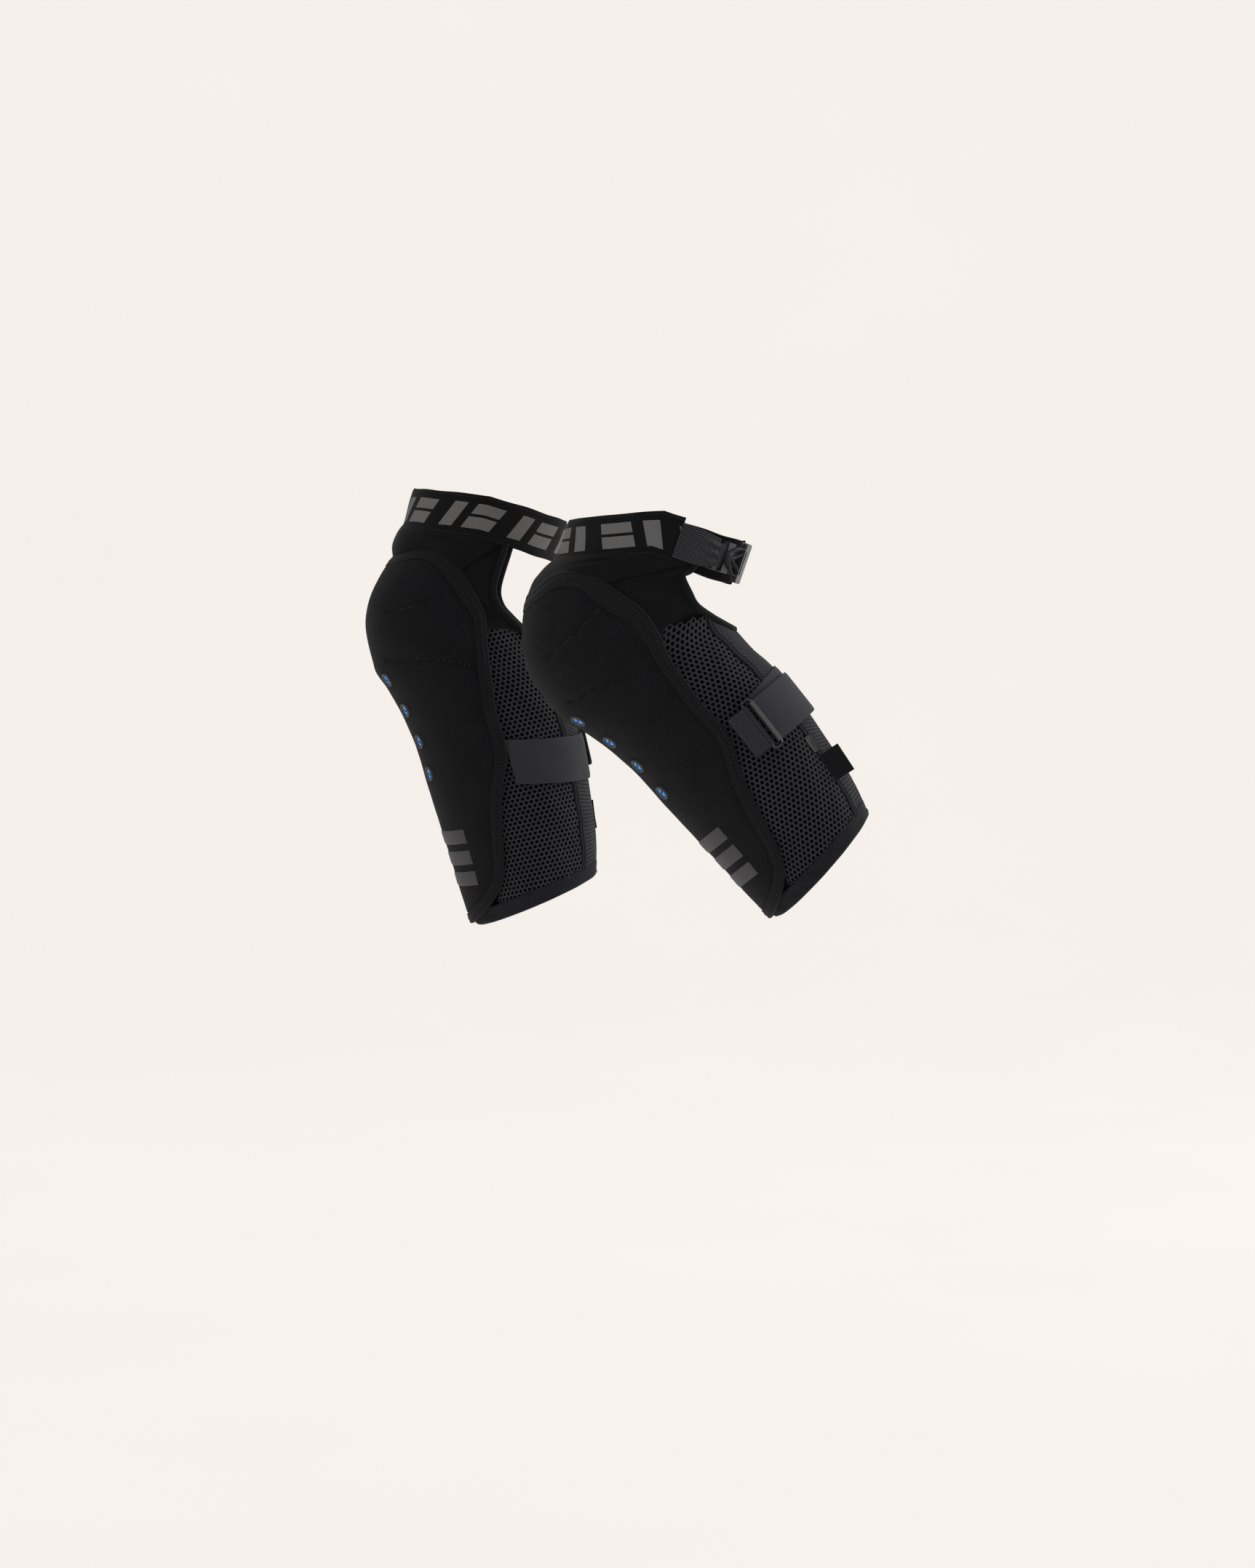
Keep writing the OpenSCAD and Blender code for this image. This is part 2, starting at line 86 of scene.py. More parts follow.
def smooth_table(table: Sequence[Sequence[float]], x: Points) -> Points:
    """Reads a smooth line through a table's points.

    Args:
        table: Pairs of place and value, in rising order of place.
        x: The places to read.

    Returns:
        The values, held level past both ends.
    """
    t = np.asarray(table, float)
    x0, y0 = t[:, 0], t[:, 1]
    h = np.diff(x0)
    d = np.diff(y0) / h
    m = np.concatenate([[d[0]], (d[:-1] * h[1:] + d[1:] * h[:-1]) / (h[:-1] + h[1:]), [d[-1]]])
    m[1:-1][d[:-1] * d[1:] <= 0] = 0
    x = np.clip(np.asarray(x, float), x0[0], x0[-1])
    i = np.clip(np.searchsorted(x0, x, side="right") - 1, 0, len(h) - 1)
    u = (x - x0[i]) / h[i]
    u2, u3 = u * u, u * u * u
    return (
        (2 * u3 - 3 * u2 + 1) * y0[i]
        + (u3 - 2 * u2 + u) * h[i] * m[i]
        + (3 * u2 - 2 * u3) * y0[i + 1]
        + (u3 - u2) * h[i] * m[i + 1]
    )


def ease(x: Points) -> Points:
    """Rises smoothly from 0 to 1 as x goes from 0 to 1."""
    k = np.clip(x, 0.0, 1.0)
    return k * k * (3 - 2 * k)


def lengths(line: Points) -> Points:
    """Gives how far along a line each of its points is."""
    return np.concatenate([[0], np.cumsum(np.linalg.norm(np.diff(line, axis=0), axis=1))])


def unit(ways: Points) -> Points:
    """Scales vectors, in the last axis, to a length of 1."""
    return ways / np.linalg.norm(ways, axis=-1, keepdims=True)


def fold_angle(a: Points) -> Points:
    """Gives how far from the front of the leg an angle is, from 0 to 180 degrees."""
    return np.where(np.abs(a) > 180, 360 - np.abs(a), np.abs(a))


def soft_noise(points: Points, size: float, seed: int) -> Points:
    """Gives the slow unevenness of cloth, the same each time.

    Args:
        points: Places, in millimetres, in the last axis.
        size: The length of a typical wave, in millimetres.
        seed: Which unevenness.

    Returns:
        Numbers of about -1 to 1, one for each place.
    """
    rng = np.random.default_rng(seed)
    total = np.zeros(points.shape[:-1])
    for _ in range(6):
        way = rng.normal(size=points.shape[-1])
        way /= np.linalg.norm(way)
        total += np.sin(points @ way * (2 * math.pi / (size * rng.uniform(0.6, 1.6))) + rng.uniform(0, 6.28))
    return total / 3.0


def smooth_path(points: Points, step: float, closed: bool) -> Points:
    """Draws a smooth line through points and spaces it evenly.

    Args:
        points: The points it goes through, one in each row.
        step: The distance between the new points.
        closed: Whether the line comes back to its start.

    Returns:
        The evenly spaced points.
    """
    p = np.asarray(points, float)
    if closed:
        p = np.concatenate([p[-1:], p, p[:2]])
    else:
        p = np.concatenate([2 * p[:1] - p[1:2], p, 2 * p[-1:] - p[-2:-1]])
    u = np.linspace(0, 1, 24, endpoint=False)[:, None]
    runs = []
    for a, b, c, d in zip(p, p[1:], p[2:], p[3:]):
        runs.append(
            0.5 * (2 * b + (c - a) * u + (2 * a - 5 * b + 4 * c - d) * u**2 + (3 * b - a - 3 * c + d) * u**3)
        )
    line = np.concatenate(runs + ([] if closed else [p[-2:-1]]))
    if closed:
        line = np.concatenate([line, line[:1]])
    along = lengths(line)
    n = max(3, round(along[-1] / step))
    at = np.linspace(0, along[-1], n + 1)
    made = np.stack([np.interp(at, along, line[:, k]) for k in range(line.shape[1])], axis=1)
    return made[:-1] if closed else made


def shift_aside(line: Points, w: float, closed: bool) -> Points:
    """Moves a line of (down, round) points sideways on the surface.

    Args:
        line: The points, in millimetres down and round the leg.
        w: How far, in millimetres; more than 0 is towards the middle of the shell.
        closed: Whether the line comes back to its start.

    Returns:
        The moved points.
    """
    if closed:
        run = np.roll(line, -1, 0) - np.roll(line, 1, 0)
    else:
        run = np.gradient(line, axis=0)
    size = np.maximum(np.linalg.norm(run, axis=1, keepdims=True), 1e-9)
    return line + w * np.stack([run[:, 1], -run[:, 0]], 1) / size


# ---------------------------------------------------------------- the worn shape of each guard


class Side(Enum):
    """Which leg a guard is worn on."""

    LEFT = "left"
    RIGHT = "right"


@dataclass
class LegForm:
    """The shape that one guard has on its leg, and where that leg is.

    Lengths are in millimetres. s is the distance down the shin from the knee, t the distance up the thigh, a the
    angle round the leg from its front, with the outer side more than 0, and o the height above the surface.
    """

    side: Side
    strap_slant: float
    band_front: float
    thigh_front: float
    crease: list[list[float]]
    top_edge: list[list[float]]
    ear: tuple[float, float]
    opening: list[list[float]]
    blend_tilt: float
    blend_low: float
    blend_high: float
    calf: list[list[float]] = field(
        default_factory=lambda: [
            [60, -95], [90, -99], [120, -100], [160, -98], [200, -94], [230, -87], [256, -79]
        ]
    )
    shin_front: list[list[float]] = field(
        default_factory=lambda: [
            [-72, 12], [-62, 25], [-46, 40], [-26, 52], [0, 56], [20, 56], [40, 49],
            [60, 43], [90, 37], [120, 35],
            [160, 32], [200, 29], [230, 27], [256, 24],
        ]
    )
    shin_middle: list[list[float]] = field(
        default_factory=lambda: [
            [-72, -40], [-62, -34], [-46, -26], [-26, -19], [0, -16], [20, -18],
            [40, -21], [60, -26], [90, -30],
            [120, -32], [160, -33], [200, -32], [230, -30], [256, -28],
        ]
    )
    shin_half_w: list[list[float]] = field(
        default_factory=lambda: [
            [-72, 45], [-62, 53], [-46, 59], [-26, 63], [0, 65], [20, 65], [40, 64],
            [60, 63], [90, 62], [120, 61],
            [160, 59], [200, 54], [230, 50], [256, 47],
        ]
    )
    rear_edge: list[list[float]] = field(
        default_factory=lambda: [
            [-68, -12], [-62, -22], [-50, -32], [-38, -38], [-11, -46], [0, -48],
            [30, -43], [75, -38], [105, -40],
            [122, -37], [146, -27], [175, -20], [213, -12], [230, 0], [240, 13], [246, 22],
        ]
    )
    shell_top: float = -69.0
    shell_bottom: float = 248.0
    thigh_back: float = -80.0
    thigh_half_w: float = 62.0
    mesh_sink: float = 4.6
    band_height: float = 101.0
    hem_h: float = 13.0

    def __post_init__(self) -> None:
        """Reads the leg's place and lean from the frame's joints."""
        joints = {j["name"]: j for j in frame["joints"]}
        name = self.side.value
        self.knee = np.array(joints[f"{name}_knee_flex"]["pos_m"], float)
        shin_up = np.array(joints[f"{name}_ring_swivel"]["axis"], float)
        shin_up *= np.sign(shin_up[2])
        self.tilt = math.atan2(-shin_up[1], shin_up[2])
        thigh_up = np.cross(joints[f"{name}_hook_release"]["axis"], joints[f"{name}_slider_travel"]["axis"])
        thigh_up *= np.sign(thigh_up[2])
        self.lean = math.atan2(thigh_up[1], thigh_up[2])
        self.hand = 1.0 if self.side is Side.LEFT else -1.0
        self.calf_back = self.crease + self.calf

    def name(self, piece: str) -> str:
        """Gives a piece's full name, with its side."""
        return f"{self.side.value}_{piece}"

    def place(self, local: Points, turn: float) -> Points:
        """Turns points of the shin or thigh about the knee and puts them in the frame, in metres.

        Args:
            local: The points.
            turn: The turn, in radians.

        Returns:
            The placed points.
        """
        x, y, z = local[..., 0], local[..., 1], local[..., 2]
        c, s = math.cos(turn), math.sin(turn)
        return np.stack([self.hand * x, c * y - s * z, s * y + c * z], -1) * MM + self.knee

    def widths(self, s: Points, a: Points) -> tuple[Points, Points, Points]:
        """Gives half the width, the depth and the middle of the shin's section.

        Args:
            s: Distances down the shin.
            a: Angles, in radians.

        Returns:
            The three lengths at each place.
        """
        front = smooth_table(self.shin_front, s)
        middle = smooth_table(self.shin_middle, s)
        back = smooth_table(self.calf_back, s)
        depth = np.where(np.cos(a) >= 0, front - middle, middle - back)
        return smooth_table(self.shin_half_w, s), depth, middle

    def shin_local(self, s: Points, a: Points, o: Points) -> Points:
        """Gives points on the shin's surface, in the shin's own frame, with a in degrees.

        Args:
            s: Distances down the shin.
            a: Angles round the leg, in degrees.
            o: Heights above the surface.

        Returns:
            The points, in millimetres.
        """
        s, a, o = np.broadcast_arrays(np.asarray(s, float), np.radians(a), np.asarray(o, float))
        half_w, depth, middle = self.widths(s, a)
        return np.stack([(half_w + o) * np.sin(a), -middle - (depth + o) * np.cos(a), -s], -1)

    def thigh_local(self, t: Points, a: Points, o: Points) -> Points:
        """Gives points on the thigh's surface, in the thigh's own frame, with a in degrees.

        Args:
            t: Distances up the thigh.
            a: Angles round the leg, in degrees.
            o: Heights above the surface.

        Returns:
            The points, in millimetres.
        """
        t, a, o = np.broadcast_arrays(np.asarray(t, float), np.radians(a), np.asarray(o, float))
        c, d = (self.thigh_front + self.thigh_back) / 2, (self.thigh_front - self.thigh_back) / 2
        return np.stack([(self.thigh_half_w + o) * np.sin(a), -c - (d + o) * np.cos(a), t], -1)

    def shin(self, s: Points, a: Points, o: Points) -> Points:
        """Gives points on the shin's surface, in the frame, in metres."""
        return self.place(self.shin_local(s, a, o), self.tilt)

    def thigh(self, t: Points, a: Points, o: Points) -> Points:
        """Gives points on the thigh's surface, in the frame, in metres."""
        return self.place(self.thigh_local(t, a, o), -self.lean)

    def angle_at(self, s: Points, r: Points) -> Points:
        """Gives the angle, in degrees, at which the shin's surface is r forward of the knee.

        Args:
            s: Distances down the shin.
            r: Distances forward of the knee.

        Returns:
            The angles.
        """
        s, r = np.asarray(s, float), np.asarray(r, float)
        middle = smooth_table(self.shin_middle, s)
        d = r - middle
        depth = np.where(
            d >= 0, smooth_table(self.shin_front, s) - middle, middle - smooth_table(self.calf_back, s)
        )
        return np.degrees(np.arccos(np.clip(d / depth, -1, 1)))

    def edge_a(self, s: Points) -> Points:
        """Gives the angle of the shell's rear edge."""
        return self.angle_at(s, smooth_table(self.rear_edge, s))

    def sleeve_top(self, a: Points) -> Points:
        """Gives how far down the top edge of the mesh sleeve is."""
        return smooth_table(self.top_edge, np.abs(a))

    def sleeve_bottom(self, a: Points) -> Points:
        """Gives how far down the mesh sleeve meets its hem."""
        r = np.radians(np.abs(a))
        return 243 + 4 * np.sin(r) - 9 * (1 - np.cos(r)) - self.hem_h + 6

    def sleeve_o(self, s: Points, a: Points) -> Points:
        """Gives the height of the sleeve's surface, which dips under the shell's edge."""
        return -self.mesh_sink * (1 - ease((np.abs(a) - self.edge_a(np.minimum(s, 230))) / 45))

    def band_at(self, a: Points) -> Points:
        """Gives the height of the middle of the thigh band."""
        return self.band_height - (self.band_height - self.band_front) * np.maximum(0, np.cos(np.radians(a)))

    def outline(self, step: float = 2.0) -> Points:
        """Gives the shell's outline as a closed line of (down, round) points.

        Args:
            step: The distance between points.

        Returns:
            The line.
        """
        half = [[self.shell_top, a * ARC] for a in range(0, 49, 12)]
        half += [[p[0], float(self.edge_a(p[0])) * ARC] for p in self.rear_edge] + [[self.shell_bottom, 0.0]]
        line = smooth_path(np.array(half + [[p[0], -p[1]] for p in half[-2:0:-1]]), 1.0, True)
        for _ in range(60):
            line = 0.5 * line + 0.25 * (np.roll(line, 1, 0) + np.roll(line, -1, 0))
        return smooth_path(line[::12], step, True)

    def skin_frame(self, local: Points, nearby: Points) -> tuple[Points, Points, Points]:
        """Gives the way out, round and up at a point of the surface.

        Args:
            local: The point, in its own frame.
            nearby: A point a little further round at the same height.

        Returns:
            Three unit vectors in the same frame.
        """
        round_it = nearby - local
        round_it /= np.linalg.norm(round_it)
        out = np.cross(round_it, [0.0, 0.0, 1.0])
        return out / np.linalg.norm(out), round_it, np.array([0.0, 0.0, 1.0])

    def core(self, points: Points) -> Points:
        """Gives the nearest point of the leg's middle line to each point, in the frame.

        Args:
            points: The points.

        Returns:
            A place on the line for each.
        """
        nodes = [
            self.place(np.array([0.0, 13.0, 140.0]), -self.lean),
            self.place(np.array([0.0, 20.0, -10.0]), self.tilt),
            self.place(np.array([0.0, 32.0, -260.0]), self.tilt),
        ]
        best, near = np.full(len(points), np.inf), np.zeros_like(points)
        for p, q in zip(nodes, nodes[1:]):
            u = np.clip((points - p) @ (q - p) / ((q - p) @ (q - p)), 0, 1)
            at = p + u[:, None] * (q - p)
            gap = np.linalg.norm(points - at, axis=1)
            near[gap < best] = at[gap < best]
            best = np.minimum(best, gap)
        return near

    def knee_blend(self) -> tuple[Points, Points]:
        """Gives where cloth stops following the shin, and where it follows the thigh."""
        way = np.array([0.0, math.sin(self.blend_tilt), math.cos(self.blend_tilt)])
        return self.knee + way * self.blend_low * MM, self.knee + way * self.blend_high * MM


# ---------------------------------------------------------------- meshes


def new_mesh(
    name: str, points: Points, faces: Sequence[Sequence[int]], weave: Points | None = None
) -> bpy.types.Mesh:
    """Makes a mesh.

    Args:
        name: The mesh's name.
        points: Its points, in metres.
        faces: The points of each face.
        weave: Where each point lies on the flat cloth, in metres, for the weave's pattern.

    Returns:
        The mesh, shaded smooth.
    """
    mesh = bpy.data.meshes.new(name)
    flat = np.asarray(points, float).reshape(-1, 3)
    mesh.from_pydata(flat.tolist(), [], [list(map(int, f)) for f in faces])
    lay = np.zeros((len(flat), 3), np.float32)
    if weave is None:
        lay[:] = flat
    else:
        lay[:, : weave.shape[-1]] = weave.reshape(len(flat), -1)
    mesh.attributes.new("weave", "FLOAT_VECTOR", "POINT").data.foreach_set("vector", lay.ravel())
    mesh.validate()
    if mesh.polygons:
        mesh.shade_smooth()
    return mesh


def grid_faces(
    rows: int, columns: int, close_rows: bool = False, close_columns: bool = False
) -> list[list[int]]:
    """Gives the faces of a grid of points.

    Args:
        rows: How many rows of points.
        columns: How many points in a row.
        close_rows: Whether the last row joins the first.
        close_columns: Whether each row comes back to its start.

    Returns:
        The four points of each face.
    """
    faces = []
    for i in range(rows if close_rows else rows - 1):
        for j in range(columns if close_columns else columns - 1):
            k, m = (i + 1) % rows, (j + 1) % columns
            faces.append([i * columns + j, i * columns + m, k * columns + m, k * columns + j])
    return faces


def end_faces(rows: int, n: int) -> list[list[int]]:
    """Gives the two faces that close a body of several rows of n points."""
    last = (rows - 1) * n
    return [list(range(n)), [last + k for k in range(n - 1, -1, -1)]]


def turn_out(mesh: bpy.types.Mesh, form: LegForm) -> None:
    """Turns a sheet's faces away from the leg, if most of them face it.

    Args:
        mesh: The sheet.
        form: The leg it is worn on.
    """
    n = len(mesh.polygons)
    centres, ways = np.zeros(n * 3), np.zeros(n * 3)
    mesh.polygons.foreach_get("center", centres)
    mesh.polygons.foreach_get("normal", ways)
    centres, ways = centres.reshape(-1, 3), ways.reshape(-1, 3)
    if ((centres - form.core(centres)) * ways).sum() < 0:
        mesh.flip_normals()


def close_right_way(mesh: bpy.types.Mesh) -> None:
    """Turns the faces of a closed mesh outwards."""
    work = bmesh.new()
    work.from_mesh(mesh)
    bmesh.ops.remove_doubles(work, verts=work.verts, dist=1e-6)
    bmesh.ops.recalc_face_normals(work, faces=work.faces)
    work.to_mesh(mesh)
    work.free()


def plain_copy(obj: Piece) -> bpy.types.Mesh:
    """Gives a plain mesh of an object as its modifiers shape it.

    Args:
        obj: The object.

    Returns:
        The mesh, with its attributes and materials.
    """
    bpy.context.view_layer.update()
    graph = bpy.context.evaluated_depsgraph_get()
    return bpy.data.meshes.new_from_object(
        obj.evaluated_get(graph), preserve_all_data_layers=True, depsgraph=graph
    )


def settle(obj: Piece, sharp: float = 40.0) -> Piece:
    """Turns an object's modifiers into its own plain mesh.

    Args:
        obj: The object.
        sharp: The angle, in degrees, past which an edge stays sharp.

    Returns:
        The same object.
    """
    made = plain_copy(obj)
    obj.modifiers.clear()
    old, obj.data = obj.data, made
    made.name = obj.name
    bpy.data.meshes.remove(old)
    made.shade_smooth()
    made.set_sharp_from_angle(angle=math.radians(sharp))
    return obj


def add_piece(name: str, mesh: bpy.types.Mesh, material: bpy.types.Material | None) -> Piece:
    """Puts a mesh in the scene as a piece of its own, at the origin.

    Args:
        name: The piece's name.
        mesh: Its mesh.
        material: What it is made of.

    Returns:
        The piece.
    """
    obj = bpy.data.objects.new(name, mesh)
    bpy.context.scene.collection.objects.link(obj)
    if material is not None:
        mesh.materials.clear()
        mesh.materials.append(material)
    return obj


def thicken(obj: Piece, t: float, sharp: float = 40.0) -> Piece:
    """Gives a sheet its thickness, inwards, in millimetres, and settles it.

    Args:
        obj: The sheet.
        t: Its thickness.
        sharp: The angle past which an edge stays sharp.

    Returns:
        The same piece.
    """
    wall = obj.modifiers.new("thickness", "SOLIDIFY")
    wall.thickness = t * MM
    wall.offset = -1.0
    return settle(obj, sharp)


def join(name: str, parts: Sequence[Piece]) -> Piece:
    """Joins several pieces with their materials into one.

    Args:
        name: The joined piece's name.
        parts: The pieces.

    Returns:
        The joined piece.
    """
    bpy.ops.object.select_all(action="DESELECT")
    for part in parts:
        part.select_set(True)
    bpy.context.view_layer.objects.active = parts[0]
    if len(parts) > 1:
        bpy.ops.object.join()
    made = bpy.context.view_layer.objects.active
    made.name = made.data.name = name
    return made


# ---------------------------------------------------------------- trees of geometry nodes


class Repeated(Enum):
    """What a row of repeated shapes is made of."""

    STITCH = "stitch"
    DOT = "dot"


class GeometryTree:
    """A Geometry Nodes tree, built node by node."""

    def __init__(self, name: str) -> None:
        """Starts a tree with its geometry in and out."""
        self.tree = bpy.data.node_groups.new(name, "GeometryNodeTree")
        self.tree.interface.new_socket("Geometry", in_out="INPUT", socket_type="NodeSocketGeometry")
        self.tree.interface.new_socket("Geometry", in_out="OUTPUT", socket_type="NodeSocketGeometry")
        self.entry = self.tree.nodes.new("NodeGroupInput")
        self.exit = self.tree.nodes.new("NodeGroupOutput")

    def size(self, name: str, value: float) -> Socket:
        """Adds a named number that the modifier sets.

        Args:
            name: Its name.
            value: Its usual value.

        Returns:
            The socket that gives it.
        """
        item = self.tree.interface.new_socket(name, in_out="INPUT", socket_type="NodeSocketFloat")
        item.default_value = value
        return self.entry.outputs[name]

    def choice(self, name: str) -> Socket:
        """Adds a named material that the modifier sets."""
        self.tree.interface.new_socket(name, in_out="INPUT", socket_type="NodeSocketMaterial")
        return self.entry.outputs[name]

    def add(
        self, kind: str, inputs: dict[str | int, object] | None = None, **settings: object
    ) -> bpy.types.Node:
        """Adds a node.

        Args:
            kind: The node's type.
            inputs: Values or sockets for its inputs, by name or number.
            settings: The node's own settings.

        Returns:
            The node.
        """
        node = self.tree.nodes.new(kind)
        for key, value in settings.items():
            setattr(node, key, value)
        for key, value in (inputs or {}).items():
            if isinstance(value, Socket):
                self.tree.links.new(value, node.inputs[key])
            else:
                node.inputs[key].default_value = value
        return node

    def finish(self, geometry: Socket, material: Socket) -> bpy.types.NodeTree:
        """Ends the tree in real geometry with its material.

        Args:
            geometry: What was built.
            material: Its material.

        Returns:
            The tree.
        """
        real = self.add("GeometryNodeRealizeInstances", {"Geometry": geometry})
        smooth = self.add("GeometryNodeSetShadeSmooth", {"Geometry": real.outputs[0]})
        dressed = self.add("GeometryNodeSetMaterial", {"Geometry": smooth.outputs[0], "Material": material})
        self.tree.links.new(dressed.outputs[0], self.exit.inputs[0])
        return self.tree


def repeat_tree(kind: Repeated) -> bpy.types.NodeTree:
    """Builds the tree that repeats a stitch along a line, or a dot at each point.

    Args:
        kind: What is repeated.

    Returns:
        The tree, with the inputs Pitch, Length, Width, Height and Material.
    """
    t = GeometryTree(f"repeat_{kind.value}")
    pitch, length = t.size("Pitch", 0.003), t.size("Length", 0.0022)
    width, height, material = t.size("Width", 0.0005), t.size("Height", 0.0004), t.choice("Material")
    up = t.add("GeometryNodeInputNamedAttribute", {"Name": "up"}, data_type="FLOAT_VECTOR").outputs[0]
    scale = t.add("ShaderNodeCombineXYZ", {0: length, 1: width, 2: height}).outputs[0]
    if kind is Repeated.DOT:
        at, turned = t.entry.outputs[0], None
        shape = t.add(
            "GeometryNodeMeshCone", {"Vertices": 8, "Radius Top": 0.34, "Radius Bottom": 0.5, "Depth": 1.0}
        )
    else:
        line = t.add("GeometryNodeMeshToCurve", {"Mesh": t.entry.outputs[0]})
        even = {"Curve": line.outputs[0], "Length": pitch}
        at = t.add("GeometryNodeResampleCurve", even, mode="LENGTH").outputs[0]
        along = t.add("GeometryNodeInputTangent").outputs[0]
        turned = t.add("FunctionNodeAlignRotationToVector", {"Vector": along}, axis="X").outputs[0]
        shape = t.add("GeometryNodeMeshUVSphere", {"Segments": 6, "Rings": 4, "Radius": 0.5})
    sized = t.add("GeometryNodeTransform", {"Geometry": shape.outputs[0], "Scale": scale})
    stood = t.add("FunctionNodeAlignRotationToVector", {"Vector": up}, axis="Z")
    if turned is not None:
        stood.pivot_axis = "X"
        t.tree.links.new(turned, stood.inputs["Rotation"])
    many = t.add(
        "GeometryNodeInstanceOnPoints", {
            "Points": at, "Instance": sized.outputs[0], "Rotation": stood.outputs[0]
        }
    )
    return t.finish(many.outputs[0], material)


def holes_tree() -> bpy.types.NodeTree:
    """Builds the tree that turns a net of triangles, or a grid, into cloth with a rounded hole in each cell.

    Returns:
        The tree, with the inputs Hole, the share of a cell that is open, and Material.
    """
    t = GeometryTree("open_cells")
    hole, rounds, material = t.size("Hole", 0.62), t.size("Round", 1.0), t.choice("Material")
    cells = t.add("GeometryNodeDualMesh", {"Mesh": t.entry.outputs[0]})
    inset = t.add(
        "GeometryNodeExtrudeMesh", {"Mesh": cells.outputs[0], "Offset Scale": 0.0, "Individual": True}
    )
    shrunk = t.add(
        "GeometryNodeScaleElements", {
            "Geometry": inset.outputs[0], "Selection": inset.outputs["Top"], "Scale": hole
        }
    )
    cut = t.add(
        "GeometryNodeDeleteGeometry",
        {"Geometry": shrunk.outputs[0], "Selection": inset.outputs["Top"]},
        domain="FACE",
    )
    rounded = t.add("GeometryNodeSubdivisionSurface", {"Mesh": cut.outputs[0], "Level": rounds})
    return t.finish(rounded.outputs[0], material)


def tube_tree() -> bpy.types.NodeTree:
    """Builds the tree that runs a round wire or a padded tube along a line.

    Returns:
        The tree, with the inputs Radius, Corner, the radius of its corners, and Material.
    """
    t = GeometryTree("tube")
    radius, corner, material = t.size("Radius", 0.001), t.size("Corner", 0.0), t.choice("Material")
    line = t.add("GeometryNodeMeshToCurve", {"Mesh": t.entry.outputs[0]})
    bent = t.add(
        "GeometryNodeFilletCurve", {"Curve": line.outputs[0], "Count": 6, "Radius": corner}, mode="POLY"
    )
    ring = t.add("GeometryNodeCurvePrimitiveCircle", {"Resolution": 14, "Radius": radius})
    tube = t.add(
        "GeometryNodeCurveToMesh", {
            "Curve": bent.outputs[0], "Profile Curve": ring.outputs[0], "Fill Caps": True
        }
    )
    return t.finish(tube.outputs[0], material)


class Growth:
    """Grows pieces from lines, points and nets with the trees of geometry nodes."""

    def __init__(self) -> None:
        """Builds each tree once."""
        self.rows = {kind: repeat_tree(kind) for kind in Repeated}
        self.holes = holes_tree()
        self.tube = tube_tree()

    def grow(
        self, name: str, seed: bpy.types.Mesh, tree: bpy.types.NodeTree, **inputs: object
    ) -> Piece:
        """Runs a tree on a mesh and keeps the plain result.

        Args:
            name: The piece's name.
            seed: The line, points or net that the tree starts from.
            tree: The tree.
            inputs: Its named inputs.

        Returns:
            The piece, without the modifier.
        """
        obj = bpy.data.objects.new(name, seed)
        bpy.context.scene.collection.objects.link(obj)
        modifier = obj.modifiers.new("grow", "NODES")
        modifier.node_group = tree
        for item in tree.interface.items_tree:
            if item.in_out == "INPUT" and item.name in inputs:
                modifier[item.identifier] = inputs[item.name]
        made = plain_copy(obj)
        obj.modifiers.clear()
        obj.data = made
        made.name = name
        bpy.data.meshes.remove(seed)
        return obj

    def row(
        self,
        name: str,
        kind: Repeated,
        line: Points,
        up: Points,
        size: tuple[float, float, float, float],
        material: bpy.types.Material,
        closed: bool = False,
    ) -> Piece:
        """Repeats a stitch along a line, or a dot at each point.

        Args:
            name: The piece's name.
            kind: What is repeated.
            line: The line's points, in metres.
            up: The way out of the cloth at each of them.
            size: Pitch, length, width and height, in millimetres.
            material: What it is made of.
            closed: Whether the line comes back to its start.

        Returns:
            The piece.
        """
        seed = bpy.data.meshes.new(name)
        n = len(line)
        edges = [] if kind is Repeated.DOT else [(i, (i + 1) % n) for i in range(n if closed else n - 1)]
        seed.from_pydata(line.tolist(), edges, [])
        seed.attributes.new("up", "FLOAT_VECTOR", "POINT").data.foreach_set(
            "vector", up.astype(np.float32).ravel()
        )
        names = dict(zip(("Pitch", "Length", "Width", "Height"), (x * MM for x in size)))
        return self.grow(name, seed, self.rows[kind], Material=material, **names)

    def run_tube(
        self,
        name: str,
        line: Points,
        radius: float,
        material: bpy.types.Material,
        corner: float = 0.0,
        closed: bool = False,
    ) -> Piece:
        """Runs a wire or a tube along a line.

        Args:
            name: The piece's name.
            line: The line's points, in metres.
            radius: The tube's radius, in millimetres.
            material: What it is made of.
            corner: The radius of its corners, in millimetres.
            closed: Whether the line comes back to its start.

        Returns:
            The piece.
        """
        seed = bpy.data.meshes.new(name)
        n = len(line)
        seed.from_pydata(line.tolist(), [(i, (i + 1) % n) for i in range(n if closed else n - 1)], [])
        made = self.grow(name, seed, self.tube, Radius=radius * MM, Corner=corner * MM, Material=material)
        close_right_way(made.data)
        return made


# ---------------------------------------------------------------- finishes


class Weave(Enum):
    """How a cloth's surface is made."""

    KNIT = "knit"
    NET = "net"
    BACKING = "backing"
    SMOOTH = "smooth"
    ELASTIC = "elastic"
    JACQUARD = "jacquard"
    WEBBING = "webbing"
    TAPE = "tape"
    SATIN = "satin"


